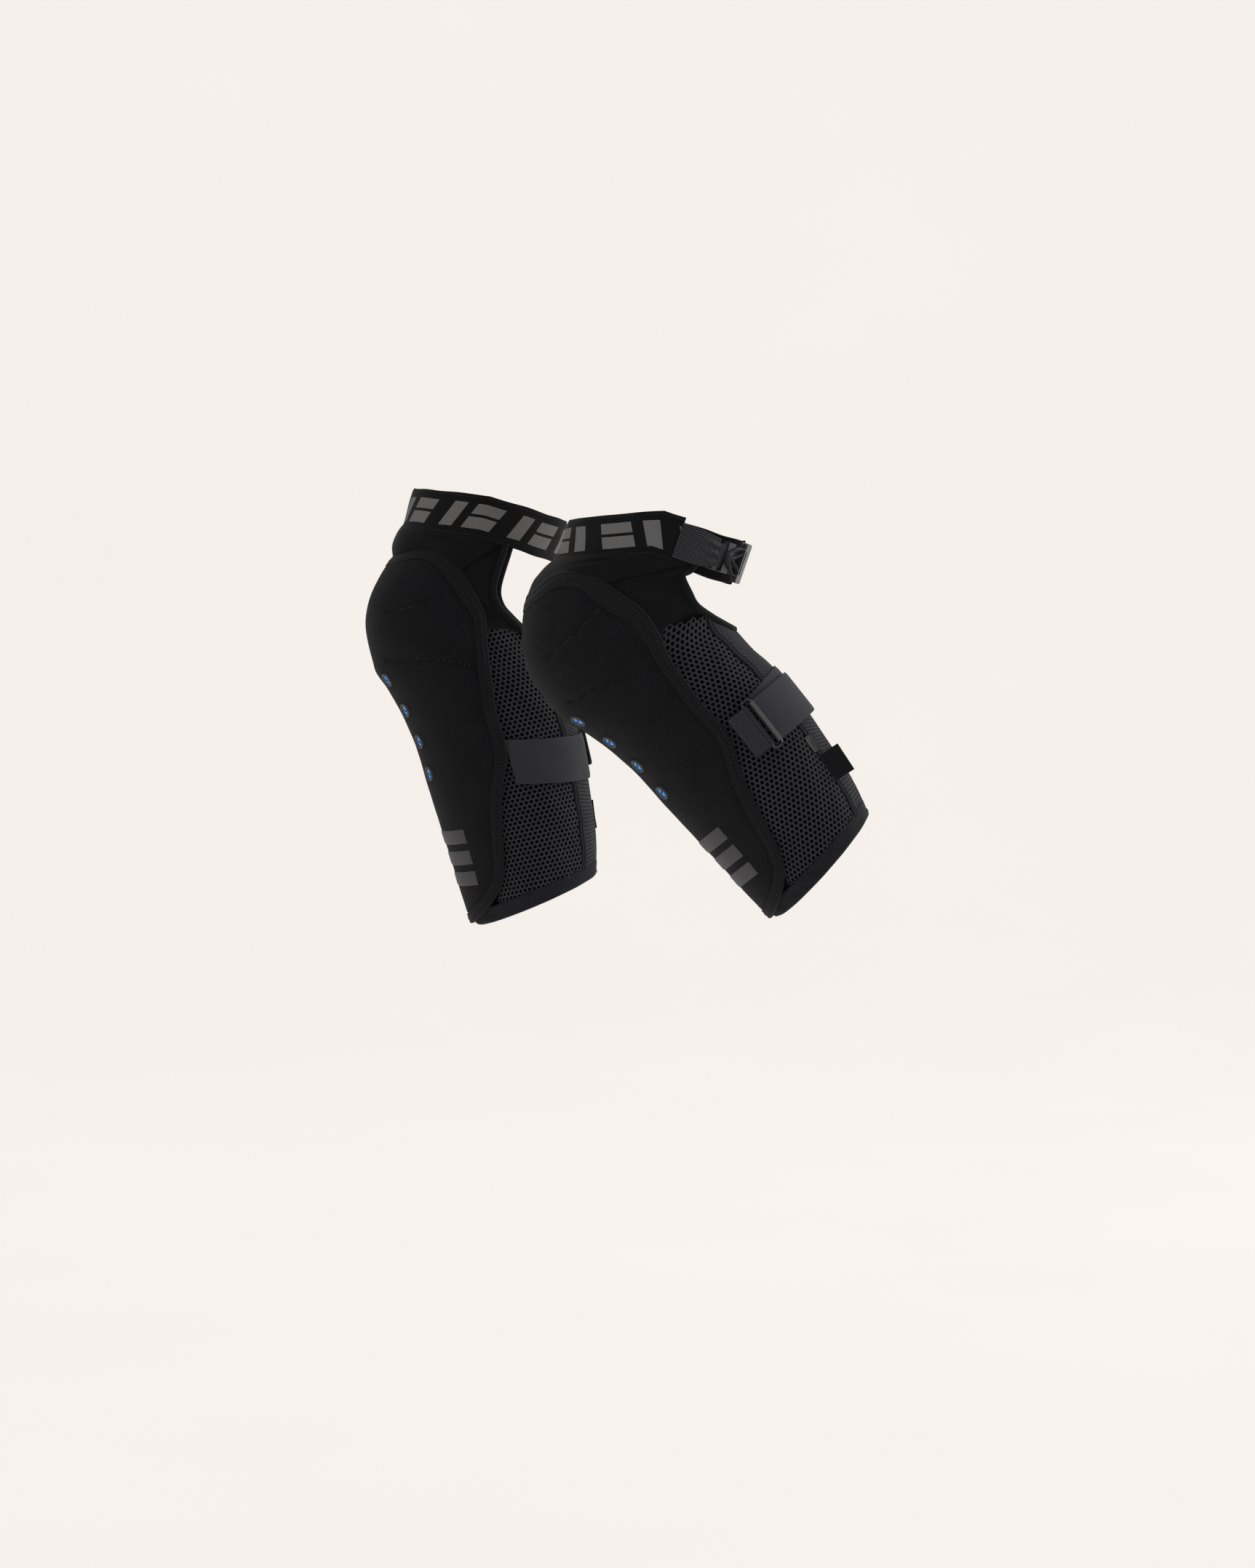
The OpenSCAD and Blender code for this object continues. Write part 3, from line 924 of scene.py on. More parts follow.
class ShaderTree:
    """A material's nodes, built one by one."""

    def __init__(self, name: str) -> None:
        """Starts a material with one shader."""
        self.material = bpy.data.materials.new(name)
        self.material.use_nodes = True
        self.nodes = self.material.node_tree.nodes
        self.links = self.material.node_tree.links
        self.nodes.clear()
        out = self.nodes.new("ShaderNodeOutputMaterial")
        self.shader = self.nodes.new("ShaderNodeBsdfPrincipled")
        self.links.new(self.shader.outputs[0], out.inputs[0])

    def add(
        self, kind: str, inputs: dict[str | int, object] | None = None, **settings: object
    ) -> bpy.types.Node:
        """Adds a node, with values or sockets for its inputs.

        Args:
            kind: The node's type.
            inputs: Values or sockets, by name or number.
            settings: The node's own settings.

        Returns:
            The node.
        """
        node = self.nodes.new(kind)
        for key, value in settings.items():
            setattr(node, key, value)
        for key, value in (inputs or {}).items():
            if isinstance(value, Socket):
                self.links.new(value, node.inputs[key])
            else:
                node.inputs[key].default_value = value
        return node

    def sum(self, kind: str, a: object, b: object, c: object = 0.0) -> Socket:
        """Does one sum on numbers or sockets."""
        return self.add("ShaderNodeMath", {0: a, 1: b, 2: c}, operation=kind).outputs[0]

    def place(self, follows_cloth: bool) -> Socket:
        """Gives places on the flat cloth, or in the frame."""
        if follows_cloth:
            return self.add("ShaderNodeAttribute", attribute_name="weave").outputs["Vector"]
        return self.add("ShaderNodeTexCoord").outputs["Object"]

    def wave(
        self, at: Socket, pitch: float, way: str = "X", uneven: float = 0.0
    ) -> Socket:
        """Gives even ridges.

        Args:
            at: The places.
            pitch: The distance from one ridge to the next, in millimetres.
            way: The way across them: X, Y, Z or DIAGONAL.
            uneven: How uneven they are.

        Returns:
            Heights from 0 to 1.
        """
        scale = (0.444 if way == "DIAGONAL" else 0.3142) / (pitch * MM)
        node = self.add(
            "ShaderNodeTexWave",
            {"Vector": at, "Scale": scale, "Distortion": uneven, "Detail": 1.0, "Detail Scale": 0.4},
            bands_direction=way,
        )
        return node.outputs["Fac"]

    def noise(self, at: Socket, size: float, detail: float = 2.0) -> Socket:
        """Gives soft noise with patches of about a size, in millimetres."""
        inputs = {"Vector": at, "Scale": 1 / (size * MM), "Detail": detail}
        return self.add("ShaderNodeTexNoise", inputs).outputs[0]

    def blend(self, share: object, low: Sequence[float], high: Sequence[float]) -> Socket:
        """Mixes two colours."""
        node = self.add("ShaderNodeMix", {0: share, 6: (*low, 1.0), 7: (*high, 1.0)}, data_type="RGBA")
        return node.outputs[2]

    def over(self, share: object, under: Socket, top: Sequence[float]) -> Socket:
        """Lays one colour over a changing one."""
        node = self.add("ShaderNodeMix", {0: share, 6: under, 7: (*top, 1.0)}, data_type="RGBA")
        return node.outputs[2]

    def relief(self, height: Socket, depth: float, strength: float = 1.0) -> None:
        """Lays a relief of that depth, in millimetres, on the surface."""
        bump = self.add("ShaderNodeBump", {"Height": height, "Distance": depth * MM, "Strength": strength})
        self.links.new(bump.outputs[0], self.shader.inputs["Normal"])


@dataclass(frozen=True)
class Cloth:
    """A cloth's colour, sheen and weave."""

    name: str
    weave: Weave
    dark: tuple[float, float, float]
    light: tuple[float, float, float]
    pitch: float
    depth: float
    rough: float = 0.85
    sheen: float = 0.04
    follows: bool = True
    block: tuple[float, float, float] = (0.2, 0.2, 0.2)
    gloss: float = 0.08

    def material(self) -> bpy.types.Material:
        """Makes the cloth's material.

        Returns:
            The material.
        """
        t = ShaderTree(self.name)
        at = t.place(self.follows)
        patch = t.noise(at, 28.0, 3.0)
        fleck = t.sum("MULTIPLY", t.sum("GREATER_THAN", t.noise(at, self.pitch * 0.9, 1.0), 0.66), 0.5)
        fuzz = t.noise(at, 0.55, 3.0)
        if self.weave is Weave.KNIT:
            twill = t.wave(at, self.pitch, "DIAGONAL", 0.6)
            cross = t.wave(at, self.pitch * 0.8, "Y", 0.4)
            height = t.sum("MULTIPLY_ADD", twill, 0.65, t.sum("MULTIPLY", cross, 0.35))
        elif self.weave in (Weave.NET, Weave.BACKING):
            cells = t.add(
                "ShaderNodeTexVoronoi", {"Vector": at, "Scale": 1 / (self.pitch * MM), "Randomness": 0.35}
            )
            height = t.sum("MULTIPLY_ADD", cells.outputs["Distance"], 0.8, t.sum("MULTIPLY", fuzz, 0.4))
        elif self.weave is Weave.ELASTIC:
            cords = t.wave(at, self.pitch, "X", 0.5)
            height = t.sum("MULTIPLY_ADD", cords, 0.35, t.sum("MULTIPLY", fuzz, 0.8))
        elif self.weave is Weave.WEBBING:
            over_it, along = t.wave(at, self.pitch, "Y", 0.1), t.wave(at, self.pitch * 1.15, "X", 0.1)
            height = t.sum("MULTIPLY", t.sum("POWER", over_it, 0.6), t.sum("POWER", along, 0.8))
        elif self.weave is Weave.TAPE:
            height = t.sum(
                "MULTIPLY_ADD", t.wave(at, self.pitch, "DIAGONAL", 1.0), 0.3, t.sum("MULTIPLY", fuzz, 0.6)
            )
        elif self.weave is Weave.SATIN:
            height = t.sum(
                "MULTIPLY_ADD", t.wave(at, self.pitch, "Z", 0.2), 0.6, t.sum("MULTIPLY", fuzz, 0.3)
            )
        elif self.weave is Weave.JACQUARD:
            twill = t.wave(at, self.pitch, "DIAGONAL", 0.3)
            height = t.sum(
                "MULTIPLY_ADD", twill, 0.4, t.sum("MULTIPLY", t.wave(at, self.pitch, "X", 0.2), 0.5)
            )
        else:
            height = t.sum(
                "MULTIPLY_ADD", fuzz, 0.6, t.sum("MULTIPLY", t.wave(at, self.pitch, "Y", 0.6), 0.25)
            )
        share = t.sum("ADD", t.sum("MULTIPLY_ADD", height, 0.55, t.sum("MULTIPLY", patch, 0.45)), fleck)
        if self.weave is Weave.WEBBING:
            share = t.sum("POWER", height, 2.0)
        colour = t.blend(t.sum("MINIMUM", share, 1.0), self.dark, self.light)
        if self.weave is Weave.JACQUARD:
            colour = t.over(self.blocks(t, at), colour, self.block)
        t.links.new(colour, t.shader.inputs["Base Color"])
        t.shader.inputs["Roughness"].default_value = self.rough
        t.shader.inputs["Specular IOR Level"].default_value = self.gloss
        t.shader.inputs["Sheen Weight"].default_value = self.sheen
        t.shader.inputs["Sheen Roughness"].default_value = 0.55
        t.relief(height, self.depth)
        return t.material

    def blocks(self, t: ShaderTree, at: Socket) -> Socket:
        """Gives the woven pattern of slanted blocks, wide and narrow in turn, and 1 inside a block.

        Args:
            t: The material's nodes.
            at: Places on the flat cloth.

        Returns:
            The pattern.
        """
        parts = t.add("ShaderNodeSeparateXYZ", {"Vector": at})
        across, along = parts.outputs[0], parts.outputs[1]
        slanted = t.sum("MULTIPLY_ADD", across, 0.42, along)
        step = t.sum("FRACT", t.sum("DIVIDE", slanted, 0.056), 0.0)
        wide = t.sum("MULTIPLY", t.sum("GREATER_THAN", step, 0.06), t.sum("LESS_THAN", step, 0.46))
        slim = t.sum("MULTIPLY", t.sum("GREATER_THAN", step, 0.60), t.sum("LESS_THAN", step, 0.80))
        inside = t.sum("LESS_THAN", t.sum("ABSOLUTE", across, 0.0), 0.0105)
        line = t.sum("GREATER_THAN", t.sum("ABSOLUTE", t.sum("SUBTRACT", across, 0.0005), 0.0), 0.0012)
        shape = t.sum("MULTIPLY", t.sum("MAXIMUM", t.sum("MULTIPLY", wide, line), slim), inside)
        knit = t.sum("MULTIPLY_ADD", t.wave(at, 0.9, "X", 0.1), 0.3, 0.65)
        return t.sum("MULTIPLY", shape, knit)


@dataclass(frozen=True)
class Moulded:
    """A moulded or coated material: rubber, plastic, foam or painted wire."""

    name: str
    dark: tuple[float, float, float]
    light: tuple[float, float, float]
    rough: float
    grain: float
    depth: float
    metal: float = 0.0
    coat: float = 0.0
    painted_glow: float = 0.0

    def material(self) -> bpy.types.Material:
        """Makes the moulded material, with a fine grain, worn patches and, where asked, a painted glow.

        Returns:
            The material.
        """
        t = ShaderTree(self.name)
        at = t.place(False)
        grain, patch = t.noise(at, self.grain, 3.0), t.noise(at, 9.0, 4.0)
        share = t.sum("MULTIPLY_ADD", grain, 0.5, t.sum("MULTIPLY", patch, 0.5))
        colour = t.blend(share, self.dark, self.light)
        t.links.new(colour, t.shader.inputs["Base Color"])
        # The colour also glows here: painted light, which the blue armour uses so it shows in the shaded eyelet
        # windows.
        t.links.new(colour, t.shader.inputs["Emission Color"])
        t.shader.inputs["Emission Strength"].default_value = self.painted_glow
        rough = t.sum("MULTIPLY_ADD", patch, 0.25, self.rough - 0.1)
        t.links.new(rough, t.shader.inputs["Roughness"])
        t.shader.inputs["Metallic"].default_value = self.metal
        t.shader.inputs["Coat Weight"].default_value = self.coat
        t.relief(grain, self.depth)
        return t.material


def grey(x: float, blue: float = 1.22) -> tuple[float, float, float]:
    """Gives a grey that is a little blue."""
    return (x, x, x * blue)


class Finishes:
    """Every finish of the two guards, each made once."""

    def __init__(self) -> None:
        """Makes the materials."""
        self.shell = Cloth("shell_knit", Weave.KNIT, grey(0.001), grey(0.013), 2.1, 0.4).material()
        self.edge = Cloth(
            "shell_edge", Weave.SMOOTH, grey(0.002), grey(0.009), 0.9, 0.12, gloss=0.16
        ).material()
        self.hem = Cloth("hem_mesh", Weave.NET, grey(0.003), grey(0.022), 2.0, 0.25, follows=False).material()
        self.net = Cloth(
            "spacer_mesh", Weave.NET, grey(0.012), grey(0.045), 0.8, 0.12, follows=False
        ).material()
        # The net's real back layer, coloured far darker than the net to paint the shade at the bottom of its
        # holes.
        self.net_back = Cloth(
            "spacer_mesh_back", Weave.BACKING, grey(0.0006), grey(0.003), 1.1, 0.2
        ).material()
        self.fine_net = Cloth(
            "ribbed_mesh", Weave.NET, grey(0.012), grey(0.045), 0.7, 0.1, follows=False
        ).material()
        self.panel = Cloth("softshell", Weave.SMOOTH, grey(0.0025), grey(0.0095), 1.0, 0.1).material()
        self.binding = Cloth(
            "binding_tape", Weave.TAPE, grey(0.003), grey(0.012), 1.3, 0.1, follows=False
        ).material()
        self.strap = Cloth("strap_elastic", Weave.ELASTIC, grey(0.014), grey(0.050), 0.7, 0.1).material()
        self.webbing = Cloth(
            "webbing", Weave.WEBBING, grey(0.003), grey(0.12), 1.5, 0.3, rough=0.7, gloss=0.15
        ).material()
        self.pale = Cloth(
            "ring_wrap", Weave.SATIN, grey(0.06, 1.0), grey(0.2, 1.0), 1.0, 0.2, follows=False
        ).material()
        self.band = Cloth(
            "band_elastic", Weave.JACQUARD, grey(0.002), grey(0.009), 0.8, 0.12, block=grey(0.17, 1.0)
        ).material()
        self.label = Cloth(
            "label_satin", Weave.SATIN, grey(0.003), grey(0.01), 0.4, 0.05, 0.45, follows=False
        ).material()
        self.lining = Cloth("lining", Weave.BACKING, grey(0.006), grey(0.015), 1.8, 0.2).material()
        self.thread = Cloth(
            "thread", Weave.SATIN, grey(0.012), grey(0.04), 0.4, 0.05, 0.6, follows=False
        ).material()
        self.pale_thread = Cloth(
            "pale_thread", Weave.SATIN, grey(0.05), grey(0.13), 0.4, 0.05, 0.6, follows=False
        ).material()
        # Near-black dots that paint the shade in the hollows of the dimpled panel.
        self.dimple = Cloth(
            "dimple", Weave.BACKING, grey(0.0003), grey(0.001), 1.0, 0.05, follows=False
        ).material()
        # The blue armour glows a little: painted light, so it shows inside the shaded eyelet windows.
        self.armour = Moulded(
            "armour_blue", (0.0, 0.13, 0.55), (0.01, 0.34, 1.0), 0.42, 1.4, 0.1, painted_glow=0.35
        ).material()
        self.eyelet = Moulded("eyelet_plastic", grey(0.014), grey(0.028), 0.5, 0.3, 0.02).material()
        self.print = Moulded("print_rubber", grey(0.03), grey(0.042), 0.6, 0.5, 0.04).material()
        self.grip = Moulded("silicone", grey(0.03), grey(0.05), 0.35, 0.8, 0.03, coat=0.2).material()
        self.wire = Moulded(
            "ring_wire", grey(0.006), grey(0.016), 0.25, 0.8, 0.01, metal=0.2, coat=0.4
        ).material()
        self.buckle = Moulded(
            "buckle_plastic", grey(0.008), grey(0.018), 0.32, 0.25, 0.02, coat=0.15
        ).material()


# ---------------------------------------------------------------- sub-assemblies


@dataclass
class Assembly:
    """A sub-assembly of one guard, with the leg it is worn on and what it is made from."""

    form: LegForm
    cloths: Finishes
    growth: Growth

    def sheet(
        self, name: str, points: Points, weave: Points, material: bpy.types.Material, t: float = 0.0
    ) -> Piece:
        """Makes a sheet of cloth from a grid of points.

        Args:
            name: The piece's name, without its side.
            points: Rows of points, in the frame.
            weave: Where each lies on the flat cloth, in millimetres.
            material: The cloth.
            t: Its thickness, in millimetres.

        Returns:
            The piece, with its outer face away from the leg.
        """
        mesh = new_mesh(self.form.name(name), points, grid_faces(*points.shape[:2]), weave * MM)
        turn_out(mesh, self.form)
        obj = add_piece(self.form.name(name), mesh, material)
        return thicken(obj, t) if t else obj

    def slab(self, name: str, top: Points, low: Points, material: bpy.types.Material) -> Piece:
        """Makes a closed pad between an outer and an inner grid of points.

        Args:
            name: The piece's name, without its side.
            top: Rows of outer points.
            low: The inner points.
            material: What it is made of.

        Returns:
            The piece.
        """
        rows, columns = top.shape[:2]
        n = rows * columns
        faces = grid_faces(rows, columns)
        faces += [[k + n for k in reversed(q)] for q in faces]
        rim = [*range(columns), *range(2 * columns - 1, n, columns), *range(n - 2, n - columns - 1, -1)]
        rim += list(range(n - 2 * columns, 0, -columns))
        faces += [[p, q, q + n, p + n] for p, q in zip(rim, rim[1:] + rim[:1])]
        mesh = new_mesh(self.form.name(name), np.concatenate([top.reshape(-1, 3), low.reshape(-1, 3)]), faces)
        close_right_way(mesh)
        mesh.set_sharp_from_angle(angle=math.radians(50))
        return add_piece(self.form.name(name), mesh, material)

    def ribbon(
        self,
        name: str,
        at: Surface,
        line: Points,
        profile: Sequence[Sequence[float]],
        material: bpy.types.Material,
        closed: bool = False,
    ) -> Piece:
        """Runs a closed profile along a line on the leg.

        Args:
            name: The piece's name, without its side.
            at: The surface it lies on, from distance, angle and height to points.
            line: The line's (down, round) points, in millimetres.
            profile: The profile's points, sideways and out, in millimetres.
            material: What it is made of.
            closed: Whether the line comes back to its start.

        Returns:
            The piece.
        """
        rows, lay = [], []
        run = lengths(line)
        for w, o in profile:
            moved = shift_aside(line, w, closed)
            rows.append(at(moved[:, 0], moved[:, 1] / ARC, np.full(len(moved), o)))
            lay.append(np.stack([np.full(len(run), w), run], -1))
        points = np.stack(rows, 1)
        faces = grid_faces(len(line), len(profile), closed, True)
        if not closed:
            faces += end_faces(len(line), len(profile))
        mesh = new_mesh(self.form.name(name), points, faces, np.stack(lay, 1) * MM)
        close_right_way(mesh)
        mesh.set_sharp_from_angle(angle=math.radians(60))
        return add_piece(self.form.name(name), mesh, material)

    def out_of(
        self, at: Surface, s: Points, a: Points, o: Points
    ) -> Points:
        """Gives the unit way out of a surface at each place.

        Args:
            at: The surface.
            s: Distances down the shin.
            a: Angles round the leg, in degrees.
            o: Heights above the surface.

        Returns:
            The unit vectors.
        """
        p = at(s, a, o)
        way = unit(np.cross(at(s, a + 0.1, o) - p, at(s + 0.1, a, o) - p))
        return way * np.sign(((at(s, a, o + 1.0) - p) * way).sum(-1, keepdims=True))

    def spot(
        self, at: Surface, s: float, a: float, o: float, points: Points
    ) -> Points:
        """Stands points (out, round, up) on a surface, in the frame.

        Args:
            at: The surface.
            s: The distance along the leg.
            a: The angle round it.
            o: The height above it.
            points: The points, in millimetres.

        Returns:
            The points, in metres.
        """
        p = at(s, a, o)
        out = self.out_of(at, np.array(s), np.array(float(a)), np.array(float(o)))
        round_it = at(s, a + 0.1, o) - p
        round_it /= np.linalg.norm(round_it)
        up = np.cross(out, round_it)
        up *= np.sign(up[2])
        return p + np.asarray(points, float) @ np.array([out, round_it, up]) * MM

    def stitches(
        self,
        name: str,
        at: Surface,
        line: Points,
        o: float | Points,
        material: bpy.types.Material,
        closed: bool = False,
        size: tuple[float, float, float, float] = (3.2, 2.5, 0.75, 0.7),
    ) -> Piece:
        """Sews a row of stitches along a line of (down, round) points on a surface."""
        s, a, o = line[:, 0], line[:, 1] / ARC, np.broadcast_to(np.asarray(o, float), (len(line),))
        return self.growth.row(
            self.form.name(name), Repeated.STITCH, at(s, a, o), self.out_of(at, s, a, o),
            size, material, closed
        )

    def keep(self, obj: Piece, body: str, *nodes: str) -> Piece:
        """Lets a piece ride on one body, in place of CAD nodes."""
        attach(obj, self.form.name(body))
        return self.stand_in(obj, *nodes)

    def stand_in(self, obj: Piece, *nodes: str) -> Piece:
        """Says which CAD nodes a piece takes the place of.

        Args:
            obj: The piece.
            nodes: The nodes.

        Returns:
            The same piece.
        """
        if nodes:
            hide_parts(*[self.form.name(node) for node in nodes])
        log.info("%s: %d faces", obj.name, len(obj.data.polygons))
        return obj

    def bridge(self, obj: Piece, weights: Points, *nodes: str) -> Piece:
        """Keeps a piece that crosses the knee in the frame, on neither body.

        Args:
            obj: The piece.
            weights: Not used; for each of its points, 0 where it is sewn to the shin's side and 1 to the
                thigh's.
            nodes: The CAD nodes it replaces.

        Returns:
            The piece.
        """
        low, high = self.form.knee_blend()
        self.form.name("shin")
        self.form.name("thigh")
        tuple(low)
        tuple(high)
        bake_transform(obj)
        return self.stand_in(obj, *nodes)

    def read(self, obj: Piece) -> Points:
        """Gives a piece's points."""
        flat = np.zeros(len(obj.data.vertices) * 3)
        obj.data.vertices.foreach_get("co", flat)
        return flat.reshape(-1, 3)

    def nearest(self, obj: Piece, places: Points, values: Points) -> Points:
        """Gives each point of a piece the value of the nearest place.

        Args:
            obj: The piece.
            places: The places.
            values: The value at each place.

        Returns:
            A value for each point.
        """
        tree = KDTree(len(places))
        for i, p in enumerate(places):
            tree.insert(Vector(p), i)
        tree.balance()
        return np.array([values[tree.find(Vector(p))[1]] for p in self.read(obj)])


@dataclass
class Shell(Assembly):
    """The armoured shell: pad, lining, knit cover, darts, double-sewn edge, eyelets and print."""

    flange_w: float = 9.0
    edge_gap: float = 2.0
    cover_t: float = 1.4
    armour_t: float = 9.0
    cover_top: float = -0.3
    armour_top: float = -2.1
    lining_top: float = -11.5
    eyelet_angle: float = 24.0
    hole_r: float = 4.0
    under_ring: float = 5.15
    first_eyelet: float = 33.0
    eyelet_pitch: float = 28.0
    dart_depth: float = 1.5

    def __post_init__(self) -> None:
        """Lays out the shell's edge and darts."""
        self.loop = self.form.outline()
        self.darts = [self.dart(hand, k) for hand in (1, -1) for k in (0, 1)]

    def dart(self, hand: int, which: int) -> Points:
        """Gives the line of one dart, from the front of the knee back to the edge.

        Args:
            hand: 1 for the outer side, -1 for the inner.
            which: 0 for the upper dart, 1 for the lower.

        Returns:
            Its (down, round) points.
        """
        ends = (
            ((-21, 33), (-22, 6), (-25, -20), (-27, -43)),
            ((17, 43), (21, 18), (30, -10), (42, -36)),
        )[which]
        line = np.array([[s, hand * float(self.form.angle_at(s, r)) * ARC] for s, r in ends])
        return smooth_path(line, 1.5, False)

    def limit(self, s: Points, w: float) -> Points:
        """Gives how far round, in millimetres, the line w inside the shell's edge is.

        Args:
            s: Distances down, in millimetres.
            w: How far inside the edge.

        Returns:
            The distances round.
        """
        half = shift_aside(self.loop, w, True)
        half = half[half[:, 1] > 0]
        crest = half[:, 0].min() + 0.4
        corner = half[half[:, 0] < crest][:, 1].max()
        half = half[(half[:, 0] >= crest) | (half[:, 1] == corner)]
        half = half[np.argsort(half[:, 0])]
        return np.interp(s, half[:, 0], half[:, 1])

    def to_darts(self, s: Points, u: Points) -> Points:
        """Gives the distance to the nearest dart.

        Args:
            s: Distances down, in millimetres.
            u: Distances round, in millimetres.

        Returns:
            The distances.
        """
        gap = np.full(s.shape, 1e9)
        for line in self.darts:
            for p in line:
                gap = np.minimum(gap, np.hypot(s - p[0], u - p[1]))
        return gap

    def relief(self, s: Points, u: Points) -> Points:
        """Gives how the padded surface rises between the seams and dips along them.

        Args:
            s: Distances down, in millimetres.
            u: Distances round, in millimetres.

        Returns:
            The heights.
        """
        d = self.to_darts(s, u)
        e = np.maximum(self.limit(s, self.flange_w) - np.abs(u), 0)
        swell = 0.9 * (1 - np.exp(-d / 9.0)) - 0.9
        soft = 0.16 * soft_noise(np.stack([s, u], -1), 26.0, 4)
        return swell - self.dart_depth * np.exp(-((d / 1.5) ** 2)) - 0.8 * np.exp(-e / 1.6) + soft

    def field(self, rows: int, columns: int, s0: float, s1: float, w: float) -> tuple[Points, Points]:
        """Lays a grid over the shell inside its edge.

        Args:
            rows: How many rows of points.
            columns: How many points in a row.
            s0: The first row's distance down.
            s1: The last row's.
            w: How far inside the edge it ends.

        Returns:
            The distances down and round.
        """
        s = np.linspace(s0, s1, rows)[:, None] + np.zeros((1, columns))
        return s, self.limit(s, w) * np.linspace(1, -1, columns)[None]

    def build(self) -> None:
        """Builds every piece of the shell."""
        f = self.form
        s, u = self.field(96, 64, -58.0, 236.0, self.flange_w + self.edge_gap)
        r = self.relief(s, u)
        top, low = self.armour_top + r, self.armour_top - self.armour_t + 0.3 * r
        pad = self.slab("armour_pad", f.shin(s, u / ARC, top), f.shin(s, u / ARC, low), self.cloths.armour)
        self.keep(pad, "shin", "protector")
        s, u = self.field(90, 60, -63.0, 242.0, self.flange_w - 3)
        e = ease((self.limit(s, self.flange_w - 3) - np.abs(u)) / 4)
        ends = ease((s + 60) / 6) * ease((240 - s) / 6)
        o = -4.6 + (self.lining_top - 0.9 + 4.6) * np.minimum(e, ends)
        lining = self.sheet(
            "shell_lining", f.shin(s, u / ARC, o), np.stack([s, u], -1), self.cloths.lining, 0.8
        )
        self.keep(lining, "shin", "lining")
        self.build_cover(pad)
        self.build_edge()
        self.build_eyelets()
        self.build_print()

    def centres(self) -> list[tuple[float, float]]:
        """Gives the place of each eyelet, as distance down and angle round."""
        return [
            (self.first_eyelet + i * self.eyelet_pitch, row * self.eyelet_angle)
            for row in (-1, 1)
            for i in range(4)
        ]

    def build_cover(self, pad: Piece) -> None:
        """Builds the knit cover with its holes and darts, and the dimpled panel, whose hollows are near-black
        dots of painted shade.

        Args:
            pad: The pad that it rests on.
        """
        f = self.form
        s, u = self.field(180, 124, -64.5, 242.5, self.flange_w / 2)
        for s0, a0 in self.centres():
            at, centre = f.shin(s, u / ARC, 0.0), f.shin(s0, a0, 0.0)
            far = np.linalg.norm(at - centre, axis=-1) / MM
            push = np.where(far < self.hole_r + 1.0, (self.hole_r + 1.0) / np.maximum(far, 0.4), 1.0)
            s, u = s0 + (s - s0) * push, a0 * ARC + (u - a0 * ARC) * push
        o = self.cover_top + self.relief(s, u)
        points = f.shin(s, u / ARC, o)
        faces = grid_faces(*s.shape)
        flat = points.reshape(-1, 3)
        hidden = np.zeros(len(flat), bool)
        for s0, a0 in self.centres():
            gaps = f.shin(s, u / ARC, 0.0).reshape(-1, 3) - f.shin(s0, a0, 0.0)
            hidden |= np.linalg.norm(gaps, axis=1) < self.under_ring * MM
        faces = [q for q in faces if not all(hidden[q])]
        mesh = new_mesh(f.name("knit_cover"), points, faces, np.stack([s, u], -1) * MM)
        turn_out(mesh, f)
        cover = thicken(add_piece(f.name("knit_cover"), mesh, self.cloths.shell), self.cover_t)
        self.keep(cover, "shin", "shell_cover")
        rows = []
        for k, line in enumerate(self.darts):
            inner = line[(np.abs(line[:, 1]) < self.limit(line[:, 0], self.flange_w))]
            o = self.cover_top + self.relief(inner[:, 0], inner[:, 1]) + 0.15
            rows.append(
                self.stitches(
                    f"dart_{k}", f.shin, inner, o, self.cloths.pale_thread, size=(2.1, 1.7, 0.55, 0.5)
                )
            )
        self.keep(join(f.name("dart_threads"), rows), "shin")
        places = []
        # The dimpled panel: its hollows are painted as near-black dots of shade, barely raised off the cover.
        for i, s0 in enumerate(np.arange(-60.0, -16.0, 2.1)):
            for u0 in np.arange(-62.0, 62.1, 2.5) + (i % 2) * 1.25:
                places.append((s0, u0))
        places = np.array(places)
        inside = np.abs(places[:, 1]) < self.limit(places[:, 0], self.flange_w + 3.0)
        above = places[:, 0] < np.interp(np.abs(places[:, 1]), [0, 30, 62], [-33, -27, -30])
        places = places[inside & above & (self.to_darts(places[:, 0], places[:, 1]) > 3.5)]
        s, u = places.T
        o = self.cover_top + self.relief(s, u) + 0.02
        dots = self.growth.row(
            f.name("dimples"), Repeated.DOT, f.shin(s, u / ARC, o), self.out_of(f.shin, s, u / ARC, o),
            (1.0, 1.25, 1.0, 0.06), self.cloths.dimple,
        )
        self.keep(dots, "shin")

    def build_edge(self) -> None:
        """Builds the raised edge band with its two rows of stitches."""
        profile = [
            (8.6, -3.6), (9.0, -2.2), (9.0, -0.4), (8.4, 0.45), (7.5, 0.7), (6.7, 0.1),
            (5.9, 0.75), (4.6, 0.95),
            (3.3, 0.75), (2.5, 0.1), (1.7, 0.7), (0.8, 0.6), (0.1, 0.1), (-0.2, -1.0),
            (0.0, -3.4), (0.6, -4.1),
            (4.5, -4.2),
        ]
        edge = self.ribbon("edge_band", self.form.shin, self.loop, profile, self.cloths.edge, True)
        self.keep(edge, "shin", "shell_flange")
        seams = [
            self.stitches(
                f"edge_seam_{k}", self.form.shin, shift_aside(self.loop, w, True), 0.3,
                self.cloths.thread, True
            )
            for k, w in enumerate((2.5, 6.7))
        ]
        self.keep(join(self.form.name("edge_stitches"), seams), "shin")

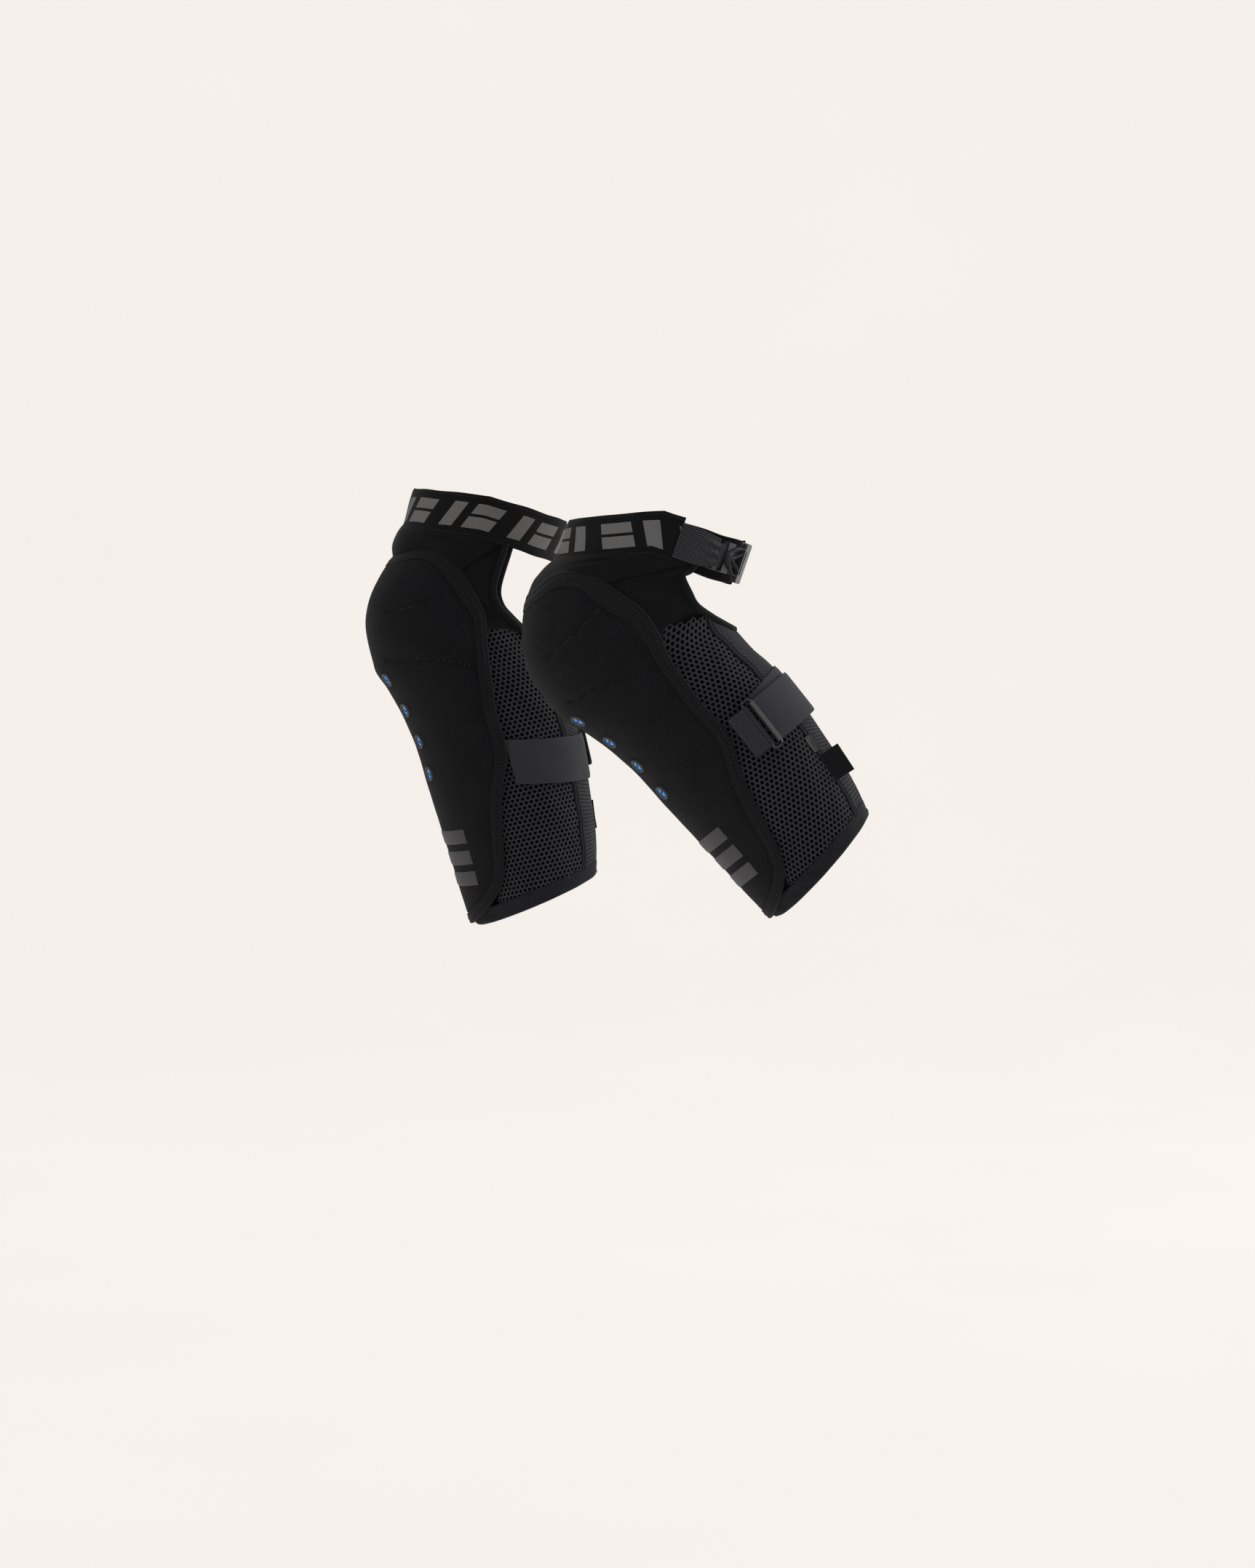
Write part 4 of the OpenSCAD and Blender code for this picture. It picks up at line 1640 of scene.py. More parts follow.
    def build_eyelets(self) -> None:
        """Builds the moulded eyelets, each with a bar across its window."""
        parts = []
        turn = np.linspace(0, 2 * math.pi, 40, endpoint=False)
        low = self.hole_r
        profile = [(low, -1.2), (low, 0.5), (low + 0.5, 1.0), (low + 1.3, 1.15), (low + 2.0, 0.9),
                   (low + 2.4, 0.2),
                   (low + 2.4, -0.8)]
        for k, (s, a) in enumerate(self.centres()):
            ring = np.array([[[h, r * math.cos(q), r * math.sin(q)] for r, h in profile] for q in turn])
            points = self.spot(self.form.shin, s, a, 0.0, ring.reshape(-1, 3))
            faces = grid_faces(len(turn), len(profile), True, True)
            slant, n = math.radians(28), len(points)
            bar = []
            for x in (-low - 0.4, low + 0.4):
                for y, h in ((-1.1, -0.9), (-1.0, 0.7), (-0.5, 0.95), (0.5, 0.95), (1.0, 0.7), (1.1, -0.9)):
                    c, d = math.cos(slant), math.sin(slant)
                    bar.append([h, x * c - y * d, x * d + y * c])
            points = np.concatenate([points, self.spot(self.form.shin, s, a, 0.0, np.array(bar))])
            faces += [[n + i, n + (i + 1) % 6, n + 6 + (i + 1) % 6, n + 6 + i] for i in range(6)]
            faces += [[n + i for i in range(6)], [n + 6 + i for i in range(5, -1, -1)]]
            mesh = new_mesh(f"eyelet_{k}", points, faces)
            close_right_way(mesh)
            mesh.set_sharp_from_angle(angle=math.radians(35))
            parts.append(add_piece(f"eyelet_{k}", mesh, self.cloths.eyelet))
            dome = [(0.0, 0.55), (1.6, 0.5), (3.2, 0.3), (low + 0.2, -0.1), (low + 0.2, -1.4), (0.0, -1.4)]
            peg = np.array([[[h, r * math.cos(q), r * math.sin(q)] for r, h in dome] for q in turn])
            points = self.spot(self.form.shin, s, a, 0.0, peg.reshape(-1, 3))
            mesh = new_mesh(f"peg_{k}", points, grid_faces(len(turn), len(dome), True, False))
            close_right_way(mesh)
            parts.append(add_piece(f"peg_{k}", mesh, self.cloths.armour))
        self.keep(join(self.form.name("eyelet_rings"), parts), "shin", "eyelets")

    def build_print(self) -> None:
        """Builds the printed rubber mark, three plain slanted bars."""
        parts = []
        for i in range(3):
            p, q = np.meshgrid(np.linspace(0, 1, 8), np.linspace(0, 1, 50), indexing="ij")
            s, u = 164 + 18 * i + 12 * p + 4 * q, (46 - 92 * q) * ARC
            edge = np.minimum(np.minimum(p, 1 - p) * 6, np.minimum(q, 1 - q) * 44)
            o = self.cover_top + self.relief(s, u) + 0.5 * ease(edge * 2.2) + 0.15
            parts.append(
                self.sheet(
                    f"print_{i}", self.form.shin(s, u / ARC, o), np.stack([s, u], -1), self.cloths.print, 0.5
                )
            )
        self.keep(join(self.form.name("print_bars"), parts), "shin", "shin_print")


@dataclass
class Sleeve(Assembly):
    """The mesh sleeve round the calf: two open nets, a ladder-knit back, seam tapes, hem and labels."""

    cell: float = 4.3
    hole: float = 0.7
    net_t: float = 1.3
    seam_a: float = 145.0
    slot_pitch: tuple[float, float] = (3.2, 1.9)

    def at(self, s: Points, a: Points, o: Points) -> Points:
        """Gives points on the sleeve, which dips under the shell's edge."""
        return self.form.shin(s, a, np.asarray(o) + self.form.sleeve_o(s, fold_angle(a)))

    def uneven(self, s: Points, u: Points) -> Points:
        """Gives the net's soft waves."""
        return 0.55 * soft_noise(np.stack([s, u], -1), 34.0, 7)

    def net(self, hand: int) -> Piece:
        """Knits one side of the sleeve as a real net of rounded holes.

        Args:
            hand: 1 for the outer side, -1 for the inner.

        Returns:
            The net.
        """
        f, c = self.form, self.cell
        rows = int(250 / (c * 0.866)) + 1
        columns = int(110 / c)
        index, places, faces = {}, [], []
        for i in range(rows):
            for j in range(columns):
                s = -6 + i * c * 0.866
                u = 62 + (j + 0.5 * (i % 2)) * c
                a = u / ARC
                if u < f.edge_a(min(s, 236)) * ARC - 5.5 or a > self.seam_a + 2.0:
                    continue
                if s < f.sleeve_top(a) - 6 or s > f.sleeve_bottom(a) + 5:
                    continue
                index[i, j] = len(places)
                places.append((s, hand * u))
        for i, j in index:
            k = i % 2
            for corner in (((i, j + 1), (i + 1, j + k)), ((i + 1, j + k), (i + 1, j + k - 1))):
                if all(q in index for q in corner):
                    faces.append([index[i, j]] + [index[q] for q in corner])
        s, u = np.array(places).T
        points = self.at(s, u / ARC, self.uneven(s, u))
        mesh = new_mesh(f.name("net"), points, faces, np.stack([s, u], -1) * MM)
        turn_out(mesh, f)
        side = "outer" if hand > 0 else "inner"
        obj = self.growth.grow(
            f.name(f"{side}_net"), mesh, self.growth.holes, Hole=self.hole, Round=1.0,
            Material=self.cloths.net
        )
        return thicken(obj, self.net_t, 55.0)

    def panel(self, name: str, hand: int, rows: int, columns: int, o: float, t: float) -> Piece:
        """Makes a plain sheet behind part of the sleeve, its dark colour painting the shade at the bottom of the
        holes in front of it.

        Args:
            name: The piece's name, without its side.
            hand: 1 for the outer side, -1 for the inner, 0 for the back of the calf.
            rows: How many rows of points.
            columns: How many points in a row.
            o: The sheet's height.
            t: Its thickness.

        Returns:
            The piece.
        """
        f = self.form
        share = np.linspace(0, 1, columns)[None]
        a = np.full((rows, columns), 100.0)
        for _ in range(3):
            wrapped = fold_angle(a)
            high, low = f.sleeve_top(wrapped) - 4, f.sleeve_bottom(wrapped) + 4
            s = high + (low - high) * np.linspace(0, 1, rows)[:, None]
            front = f.edge_a(np.minimum(s, 240)) - 5
            first, last = (front, self.seam_a) if hand else (self.seam_a + 0 * s, 360 - self.seam_a)
            a = first + (last - first) * share
        a = a * (hand or 1)
        points = self.at(s, a, o + self.uneven(s, a * ARC))
        return self.sheet(name, points, np.stack([s, a * ARC], -1), self.cloths.net_back, t)

    def build(self) -> None:
        """Builds every piece of the sleeve."""
        f = self.form
        for hand, side in ((1, "outer"), (-1, "inner")):
            net = self.keep(self.net(hand), "shin", f"{side}_mesh")
            back = self.keep(self.panel(f"{side}_net_back", hand, 70, 34, -2.6, 0.6), "shin")
        self.build_back()
        self.build_tapes()
        self.build_hem()
        self.build_labels()

    def build_back(self) -> None:
        """Builds the ladder-knit panel down the back of the calf."""
        f = self.form
        step_s, step_u = self.slot_pitch
        columns = int(2 * (180 - self.seam_a) * ARC / step_u) + 2
        rows = int(200 / step_s)
        a = (self.seam_a + (360 - 2 * self.seam_a) * np.linspace(0, 1, columns))[None] + np.zeros((rows, 1))
        wrapped = fold_angle(a)
        high, low = f.sleeve_top(wrapped) - 5, f.sleeve_bottom(wrapped) + 4
        s = high + (low - high) * np.linspace(0, 1, rows)[:, None]
        u = a * ARC + 0.45 * np.sin(s / 2.1 + np.arange(columns)[None] * 0.9)
        ribs = 0.35 * np.cos(np.arange(columns)[None] * math.pi)
        points = self.at(s, u / ARC, ribs + self.uneven(s, u) - 0.3)
        mesh = new_mesh(f.name("ladder"), points, grid_faces(rows, columns), np.stack([s, u], -1) * MM)
        turn_out(mesh, f)
        ladder = self.growth.grow(
            f.name("ladder_knit"), mesh, self.growth.holes, Hole=0.5, Round=0.0, Material=self.cloths.fine_net
        )
        ladder = self.keep(thicken(ladder, 0.9, 50.0), "shin", "back_panel")
        # Behind the ladder knit too, the dark backing paints the shade in the slots.
        behind = self.keep(self.panel("ladder_back", 0, 60, 30, -2.4, 0.6), "shin")

    def build_tapes(self) -> None:
        """Builds the taped seams beside the back panel."""
        f, parts = self.form, []
        for hand in (1, -1):
            s = np.arange(float(f.sleeve_top(self.seam_a)) - 2, float(f.sleeve_bottom(self.seam_a)) + 3, 1.5)
            u = hand * (self.seam_a * ARC + 0.5 * np.sin(s / 4.0))
            line = np.stack([s, u], 1)
            profile = [(-3.4, -0.6), (-3.2, 0.3), (-2.0, 0.8), (-0.6, 0.6), (0, 0.35), (0.6, 0.6),
                       (2.0, 0.85),
                       (3.2, 0.35), (3.4, -0.6)]
            parts.append(self.ribbon(f"tape_{hand + 1}", self.at, line, profile, self.cloths.edge))
            for w in (-2.0, 2.0):
                parts.append(
                    self.stitches(
                        f"tape_seam_{hand + 1}_{w:.0f}", self.at, shift_aside(line, w,
                        False), 0.9, self.cloths.thread,
                        size=(2.6, 2.0, 0.6, 0.5),
                    )
                )
        self.keep(join(f.name("seam_tapes"), parts), "shin")

    def build_hem(self) -> None:
        """Builds the turned hem at the sleeve's lower edge."""
        f = self.form
        a = np.linspace(0, 360, 181)[:-1]
        wrapped = fold_angle(a)
        start = f.sleeve_bottom(wrapped)
        dip = -4.5 * (1 - ease((wrapped - 50) / 45)) - 0.3
        rows = []
        profile = [(0.0, -1.4), (0.0, 0.2), (1.6, 0.75), (3.0, 0.7), (9.2, 0.6), (11.2, 1.0),
                   (12.8, 0.5), (13.4, -0.8),
                   (12.6, -2.0), (10.6, -2.4), (3.0, -2.0)]
        for w, o in profile:
            ripple = 0.25 * np.sin(np.radians(a) * 13 + w)
            rows.append(f.shin(start + w, a, o + dip + ripple * (w > 1)))
        points = np.stack(rows, 0)
        lay = np.stack(np.broadcast_arrays(np.array([p[0] for p in profile])[:, None], (a * ARC)[None]), -1)
        mesh = new_mesh(f.name("turned_hem"), points, grid_faces(len(profile), len(a), True, True), lay * MM)
        close_right_way(mesh)
        hem = add_piece(f.name("hem_roll"), mesh, self.cloths.hem)
        line = np.stack([start + 9.4, a * ARC], 1)
        s, u = line.T
        seam = self.growth.row(
            f.name("hem_seam"), Repeated.STITCH, f.shin(s, a, dip + 0.75), self.out_of(
                f.shin, s, a, dip + 0.75
            ),
            (3.0, 2.2, 0.6, 0.5), self.cloths.thread, True,
        )
        self.keep(join(f.name("turned_hem"), [hem, seam]), "shin", "bottom_hem")

    def label(
        self, name: str, s: float, a: float, turn: float, w: float, h: float, lift: float
    ) -> Piece:
        """Makes one blank woven label that stands off the seam.

        Args:
            name: Its name.
            s: How far down it is.
            a: Its angle round the leg.
            turn: How far it turns from straight out.
            w: Its width.
            h: Its height.
            lift: How far off the surface it starts.

        Returns:
            The label.
        """
        p, q = np.meshgrid(np.linspace(0, 1, 9), np.linspace(0, 1, 13), indexing="ij")
        c, d = math.cos(math.radians(turn)), math.sin(math.radians(turn))
        reach = p * w
        curl = 0.5 * np.sin(q * math.pi) + 0.3 * np.sin(p * 3)
        place = np.stack([lift + reach * c - curl * d, reach * d + curl * c, (q - 0.5) * h], -1)
        points = self.spot(self.form.shin, s, a, 0.0, place.reshape(-1, 3)).reshape(place.shape)
        return self.sheet(name, points, np.stack([p * w, q * h], -1), self.cloths.label, 0.5)

    def build_labels(self) -> None:
        """Builds the size label and the woven tab, both left blank."""
        self.keep(self.label("size_tag", 159, self.seam_a - 6, 90, 10, 14, 1.4), "shin", "size_label")
        tab = self.label(
            "woven_tab", 182, self.seam_a, 36 if self.form.side is Side.LEFT else 76, 14.5, 24, 1.0
        )
        self.keep(tab, "shin", "woven_label")


@dataclass
class KneeCloth(Assembly):
    """The stretch cloth that crosses the knee: top panel, side gussets and the bound opening."""

    sew_s: float = -40.0
    bulge: float = 4.5
    foot: float = 60.0

    def crossing(self, hand: int) -> tuple[Points, Points]:
        """Gives the bound edge of the opening on one side, and how far each point follows the thigh.

        Args:
            hand: 1 for the outer side, -1 for the inner.

        Returns:
            The points, in the frame, from the ear down to the back of the calf, and their weights.
        """
        f = self.form
        points = [f.thigh(f.ear[0] + d, hand * f.ear[1], -0.4) for d in (8.0, 0.0)]
        points += [f.shin(s, hand * float(f.angle_at(s, r)), -0.4) for s, r in f.opening]
        last = abs(float(f.angle_at(*f.opening[-1]))) + 9
        points += [f.shin(float(f.sleeve_top(a)) - 3.4, hand * a, -0.2) for a in np.arange(last, 180.1, 6)]
        line = smooth_path(np.array(points) / MM, 2.0, False) * MM
        run = lengths(line) / MM
        self.foot = float(run[np.linalg.norm(line - points[len(f.opening) + 2], axis=1).argmin()])
        return line, 1 - ease((run - 6) / 42)

    def build(self) -> None:
        """Builds the panel, gussets and binding."""
        self.build_panel()
        self.build_gussets()
        self.build_binding()

    def build_panel(self) -> None:
        """Builds the panel from the shell's top edge up under the band."""
        f = self.form
        loop = shift_aside(f.outline(1.0), 3.0, True)
        top = loop[(loop[:, 0] < self.sew_s)]
        top = top[np.argsort(top[:, 1])]
        run = lengths(top)
        v = np.linspace(-1, 1, 121)
        at = (v + 1) / 2 * run[-1]
        s, u = np.interp(at, run, top[:, 0]), np.interp(at, run, top[:, 1])
        low = f.shin(s, u / ARC, -1.0)
        a = v * f.ear[1]
        high = f.thigh(f.band_at(a) - 11, a, 0.2)
        k = np.linspace(0, 1, 34)[:, None]
        way = low + (high - low) * 0.5
        out = unit(way - f.core(way))
        side = ease((np.abs(v) - 0.3) / 0.5)[None]
        swell = self.bulge * np.sin(math.pi * k) ** 0.8 - 2.4 * side * np.exp(-(((k - 0.55) / 0.10) ** 2))
        swell = swell + (2.6 * np.sin(math.pi * k) - swell) * ease((np.abs(v) - 0.75) / 0.25)[None]
        points = low[None] + (high - low)[None] * k[..., None]
        swell = swell + 0.5 * soft_noise(points / MM, 24.0, 11) * np.sin(math.pi * k)
        points = points + out[None] * swell[..., None] * MM
        tall = np.linalg.norm(high - low, axis=1) / MM
        weave = np.stack(np.broadcast_arrays(k * tall[None], at[None]), -1)
        panel = self.sheet("knee_panel", points, weave, self.cloths.panel, 1.2)
        self.bridge(
            panel, self.nearest(panel, points.reshape(-1, 3), np.repeat(ease(k[:, 0]), len(v))), "top_panel"
        )

    def build_gussets(self) -> None:
        """Builds the gussets between the shell's edge and the bound opening."""
        f, parts, places, weights = self.form, [], [], []
        for hand in (1, -1):
            line, follow = self.crossing(hand)
            foot = float(f.sleeve_top(100)) + 4
            run = lengths(line) / MM
            ends = np.linspace(0, self.foot + 3, 50)
            back = np.stack([np.interp(ends, run, line[:, k]) for k in range(3)], 1)
            back_w = np.interp(ends, run, follow)
            s = np.linspace(self.sew_s - 5, foot, 50)
            front = f.shin(s, hand * (f.edge_a(s) - 3.0), -1.8)
            v = np.linspace(0, 1, 30)[None]
            points = front[:, None] + (back - front)[:, None] * v[..., None]
            out = unit(points - f.core(points.reshape(-1, 3)).reshape(points.shape))
            crown = np.sin(math.pi * v)
            swell = 2.2 * crown + 0.5 * soft_noise(points / MM, 20.0, 13) * crown - 0.5
            points = points + out * swell[..., None] * MM
            wide = np.linalg.norm(back - front, axis=1)[:, None] / MM
            weave = np.stack(np.broadcast_arrays(s[:, None], v * wide), -1)
            parts.append(self.sheet(f"gusset_{hand + 1}", points, weave, self.cloths.panel, 1.2))
            places.append(points.reshape(-1, 3))
            weights.append((back_w[:, None] * ease(v)).ravel())
        gussets = join(f.name("side_gussets"), parts)
        self.bridge(
            gussets, self.nearest(gussets, np.concatenate(places), np.concatenate(weights)), "gussets"
        )

    def build_binding(self) -> None:
        """Builds the padded tape round the opening, in one run from ear to ear."""
        f = self.form
        (outer, w1), (inner, w2) = self.crossing(1), self.crossing(-1)
        line = np.concatenate([outer, inner[-2::-1]])
        follow = np.concatenate([w1, w2[-2::-1]])
        tape = self.growth.run_tube(f.name("binding_roll"), line, 2.7, self.cloths.binding)
        self.bridge(tape, self.nearest(tape, line, follow), "opening_binding")


@dataclass
class CalfStrap(Assembly):
    """The elastic strap over the calf, with its webbing loop, wire ring and grip tab."""

    middle_s: float = 122.0
    width: float = 38.0
    t: float = 1.6
    first_a: float = 97.0
    last_a: float = 235.5
    loop_a: float = 114.0
    ring_lift: float = 2.2
    reach: float = 8.0

    def build(self) -> None:
        """Builds every piece of the strap."""
        self.build_strap()
        self.build_loop()
        self.build_tab()

    def build_strap(self) -> None:
        """Builds the strap round the back of the calf."""
        f = self.form
        p, a = np.meshgrid(
            np.linspace(-0.5, 0.5, 22), np.linspace(self.first_a, self.last_a, 130), indexing="ij"
        )
        share = (a - self.first_a) / (self.last_a - self.first_a)
        slant = f.strap_slant * np.sin(math.pi * share)
        s = self.middle_s - 4 * share + slant + self.width * p
        wrapped = fold_angle(a)
        s_flat = np.minimum(s, 230)
        edge = 0.5 * ease((np.abs(p) - 0.42) / 0.06)
        waves = 0.45 * soft_noise(np.stack([s, a * ARC], -1), 40.0, 21)
        o = f.sleeve_o(s_flat, wrapped) + 0.5 + self.t + waves - edge
        points = f.shin(s, -a, o)
        weave = np.stack([p * self.width, a * ARC], -1)
        strap = self.keep(
            self.sheet("elastic_strap", points, weave, self.cloths.strap, self.t), "shin", "calf_strap"
        )

    def ring_place(self) -> tuple[Points, Points]:
        """Gives the middle of the ring's inner bar and the ways out, back and up there.

        Returns:
            The place and the three ways.
        """
        f = self.form
        at = f.shin_local(self.middle_s, self.loop_a, self.ring_lift)
        return at, np.array(f.skin_frame(at, f.shin_local(self.middle_s, self.loop_a + 0.05, self.ring_lift)))

    def stand(self, points: Points) -> Points:
        """Stands points (out, back, up) at the ring's inner bar.

        Args:
            points: The points, in millimetres.

        Returns:
            The points, in the frame.
        """
        flat = np.asarray(points, float).reshape(-1, 3)
        at, ways = self.ring_place()
        return self.form.place(at + flat @ ways, self.form.tilt).reshape(np.shape(points))

    def build_loop(self) -> None:
        """Builds the ribbed webbing loop and the wire ring; the pale wrap beside the ring's outer bar comes with
        the tab.
        """
        f = self.form
        half = self.width / 2 - 1
        outline = [(-1.3, -17.0), (0.7, -17.0), (1.0, -10.0), (1.7, -4.6)]
        outline += [
            (float(2.7 * math.cos(q)), float(2.7 * math.sin(q))) for q in np.radians(
                np.linspace(-40, 170, 16)
            )
        ]
        outline += [(-2.3, -2.2), (-1.6, -6.0)]
        ends = np.linspace(-half, half, 24)
        rows = np.array([[[x, y, z] for x, y in outline] for z in ends])
        faces = grid_faces(len(ends), len(outline), False, True) + end_faces(len(ends), len(outline))
        lay = np.stack([rows[..., 1], rows[..., 2]], -1)
        mesh = new_mesh(f.name("loop_body"), self.stand(rows), faces, lay * MM)
        close_right_way(mesh)
        mesh.set_sharp_from_angle(angle=math.radians(50))
        parts = [add_piece(f.name("loop_body"), mesh, self.cloths.webbing)]
        for k, y in enumerate(np.arange(-15.5, -3.0, 1.7)):
            x = float(np.interp(y, [-17, -10, -4.6], [0.7, 1.0, 1.7]))
            line = self.stand([[x, y, z] for z in (-half + 0.3, half - 0.3)])
            parts.append(self.growth.run_tube(f.name(f"loop_rib_{k}"), line, 0.55, self.cloths.strap))
        self.keep(join(f.name("webbing_loop"), parts), "shin", "ring_loop")
        ring = self.growth.run_tube(
            f.name("wire_ring"),
            self.stand([[0, 0, -21.5], [0, 0, 21.5], [0, self.reach, 21.5], [0, self.reach, -21.5]]),
            1.2, self.cloths.wire, corner=2.6, closed=True,
        )
        self.keep(ring, "ring_body", "ring")

    def build_tab(self) -> None:
        """Builds the end of the strap that turns round the ring and lies back on itself."""
        f = self.form
        lift = self.ring_lift + 3.1
        arc = np.linspace(self.loop_a + 7.2, 172, 60)
        top_line = [f.shin_local(self.middle_s, a, lift) for a in arc]
        half = self.width / 2 - 0.2
        ends = np.linspace(-half, half, 20)
        at, ways = self.ring_place()
        turn = np.radians(np.linspace(-150, 0, 12))
        r = 2.7
        hook = [at + np.array([r * math.cos(q), self.reach + r * math.sin(q), 0.0]) @ ways for q in turn]
        line = np.array(hook + top_line)
        line = smooth_path(line, 1.6, False)
        rows = line[None] + np.stack([np.zeros(20), np.zeros(20), ends], -1)[:, None]
        run = lengths(line)
        lay = np.stack(np.broadcast_arrays(ends[:, None], run[None]), -1)
        corner = np.clip((run[-1] - run)[None] / 5.0, 0, 1) * np.ones((20, 1))
        rows[..., 2] = rows[..., 2].mean(0)[None] + ends[:, None] * (0.84 + 0.16 * np.sqrt(corner))
        tab = self.sheet("grip_tab", f.place(rows, f.tilt), lay, self.cloths.strap, self.t)
        self.keep(tab, "tab_body", "strap_tab")
        wrap = []
        for z in np.arange(-half + 1.0, half - 0.8, 1.25):
            line = self.stand([[r + 0.5, self.reach - 2.6 + 0.2, z], [r + 0.9, self.reach + 0.8, z + 0.3]])
            wrap.append(
                self.growth.run_tube(f.name(f"wrap_{z:.1f}".replace(".", "_")), line, 0.62, self.cloths.pale)
            )
        self.keep(join(f.name("pale_wrap"), wrap), "tab_body")


@dataclass
class ThighBand(Assembly):
    """The jacquard band above the knee, with its silicone grip, gathered webbing, slider and hook."""

    band_w: float = 36.0
    band_t: float = 1.8
    webbing_w: float = 28.0
    strap_w: float = 19.0

    def build(self) -> None:
        """Builds every piece of the band."""
        f = self.form
        p, a = np.meshgrid(np.linspace(0.5, -0.5, 20), np.linspace(105, -188, 260), indexing="ij")
        round_edge = 0.7 * ease((np.abs(p) - 0.44) / 0.06)
        waves = 0.4 * soft_noise(np.stack([p * 36, a * ARC], -1), 46.0, 31)
        t = f.band_at(a) + self.band_w * p + 0.4 * soft_noise(np.stack([a * ARC, a * 0], -1), 50.0, 32)
        points = f.thigh(t, a, self.band_t - round_edge + waves)
        weave = np.stack([p * self.band_w, a * ARC], -1)
        band = self.keep(
            self.sheet("jacquard_band", points, weave, self.cloths.band, self.band_t), "thigh", "thigh_band"
        )
        seams = []
        for k, w in enumerate((-15.6, 15.6)):
            a1 = np.linspace(104, -186, 220)
            line = np.stack([f.band_at(a1) + w, a1 * ARC], 1)
            seams.append(
                self.stitches(f"band_seam_{k}", f.thigh, line, self.band_t + 0.1, self.cloths.thread,
                              size=(2.4, 1.9, 0.55, 0.5))
            )
        self.keep(join(f.name("band_stitches"), seams), "thigh")
        q, a = np.meshgrid(np.linspace(0, 1, 8), np.linspace(95, -95, 110), indexing="ij")
        t = f.band_at(a) + self.band_w / 2 - 3 - 9 * q
        dots = 0.12 * np.sin(q * 25) * np.sin(a * 1.9)
        grip = self.sheet(
            "grip_print", f.thigh(t, a, -0.35 + dots), np.stack([q * 9, a * ARC], -1), self.cloths.grip, 0.7
        )
        self.keep(grip, "thigh", "grip_strip")
        self.build_webbing()
        self.build_hardware()

    def build_webbing(self) -> None:
        """Builds the dotted webbing, gathered in pleats towards the slider, and the strap that leaves it."""
        f = self.form
        p, a = np.meshgrid(np.linspace(0.5, -0.5, 30), np.linspace(104, 135.6, 70), indexing="ij")
        gather = ease((a - 118) / 17)
        pleats = gather * 1.1 * np.cos(p * 2 * math.pi * 3.5)
        t = f.band_height + self.webbing_w * p * (1 - 0.20 * gather)
        points = f.thigh(t, a, 2.6 + pleats + 0.8 * gather * (1 - (2 * p) ** 2))
        weave = np.stack([p * self.webbing_w, a * ARC], -1)
        web = self.keep(
            self.sheet("dotted_webbing", points, weave, self.cloths.webbing, 1.5), "thigh", "adjuster_webbing"
        )
        p, a = np.meshgrid(np.linspace(0.5, -0.5, 16), np.linspace(136.6, 163.5, 60), indexing="ij")
        twist = 1.5 * np.sin((a - 136.6) / 27 * math.pi) * p * 2
        t = f.band_height + self.strap_w * p
        points = f.thigh(t, a, 2.7 + twist)
        weave = np.stack([p * self.strap_w, a * ARC], -1)
        strap = self.keep(
            self.sheet("adjusting_strap", points, weave, self.cloths.strap, 1.3), "thigh", "adjuster_strap"
        )
        self.build_lobes()

    def build_lobes(self) -> None:
        """Builds the two folds where the strap's tail is tucked behind the slider."""
        parts = []
        for k, (rise, turn) in enumerate(((6.5, 0.35), (-6.0, -0.45))):
            q, v = np.meshgrid(
                np.linspace(0, 2 * math.pi, 40, endpoint=False), np.linspace(-1, 1, 14), indexing="ij"
            )
            long = 11.0 * np.cos(q)
            tall = 3.4 * np.sin(q) * (0.75 + 0.25 * np.cos(q)) + rise
            flat = np.stack([3.6 + 1.9 * v + 0.8 * np.sin(q * 2),
                             long * math.cos(turn) - (tall - rise) * math.sin(turn),
                             tall * math.cos(turn) * 0.9 + long * math.sin(turn)], -1)
            points = self.spot(self.form.thigh, self.form.band_height, 151.0, 1.5, flat.reshape(-1, 3))
            mesh = new_mesh(
                f"lobe_{k}", points, grid_faces(40, 14, True, False), np.stack([v * 2, q * 9], -1) * MM
            )
            parts.append(thicken(add_piece(f"lobe_{k}", mesh, self.cloths.strap), 1.1))
        self.keep(join(self.form.name("strap_folds"), parts), "thigh")

    def dress(self, node: str, material: bpy.types.Material) -> None:
        """Gives a CAD node that stays its finish.

        Args:
            node: The node's name, without its side.
            material: Its finish.
        """
        obj = bpy.data.objects[self.form.name(node)]
        obj.data.materials.clear()
        obj.data.materials.append(material)

    def build_hardware(self) -> None:
        """Finishes the slider and the two plates of the hook."""
        for node in ("catch_plate", "hook_plate", "slider"):
            self.dress(node, self.cloths.buckle)


@dataclass
class KneeGuard:
    """One whole guard."""

    form: LegForm
    cloths: Finishes
    growth: Growth

    def build(self) -> None:
        """Builds each sub-assembly in turn."""
        for kind in (Shell, Sleeve, KneeCloth, CalfStrap, ThighBand):
            log.info("%s %s", self.form.side.value, kind.__name__)
            kind(self.form, self.cloths, self.growth).build()


# ---------------------------------------------------------------- light and camera


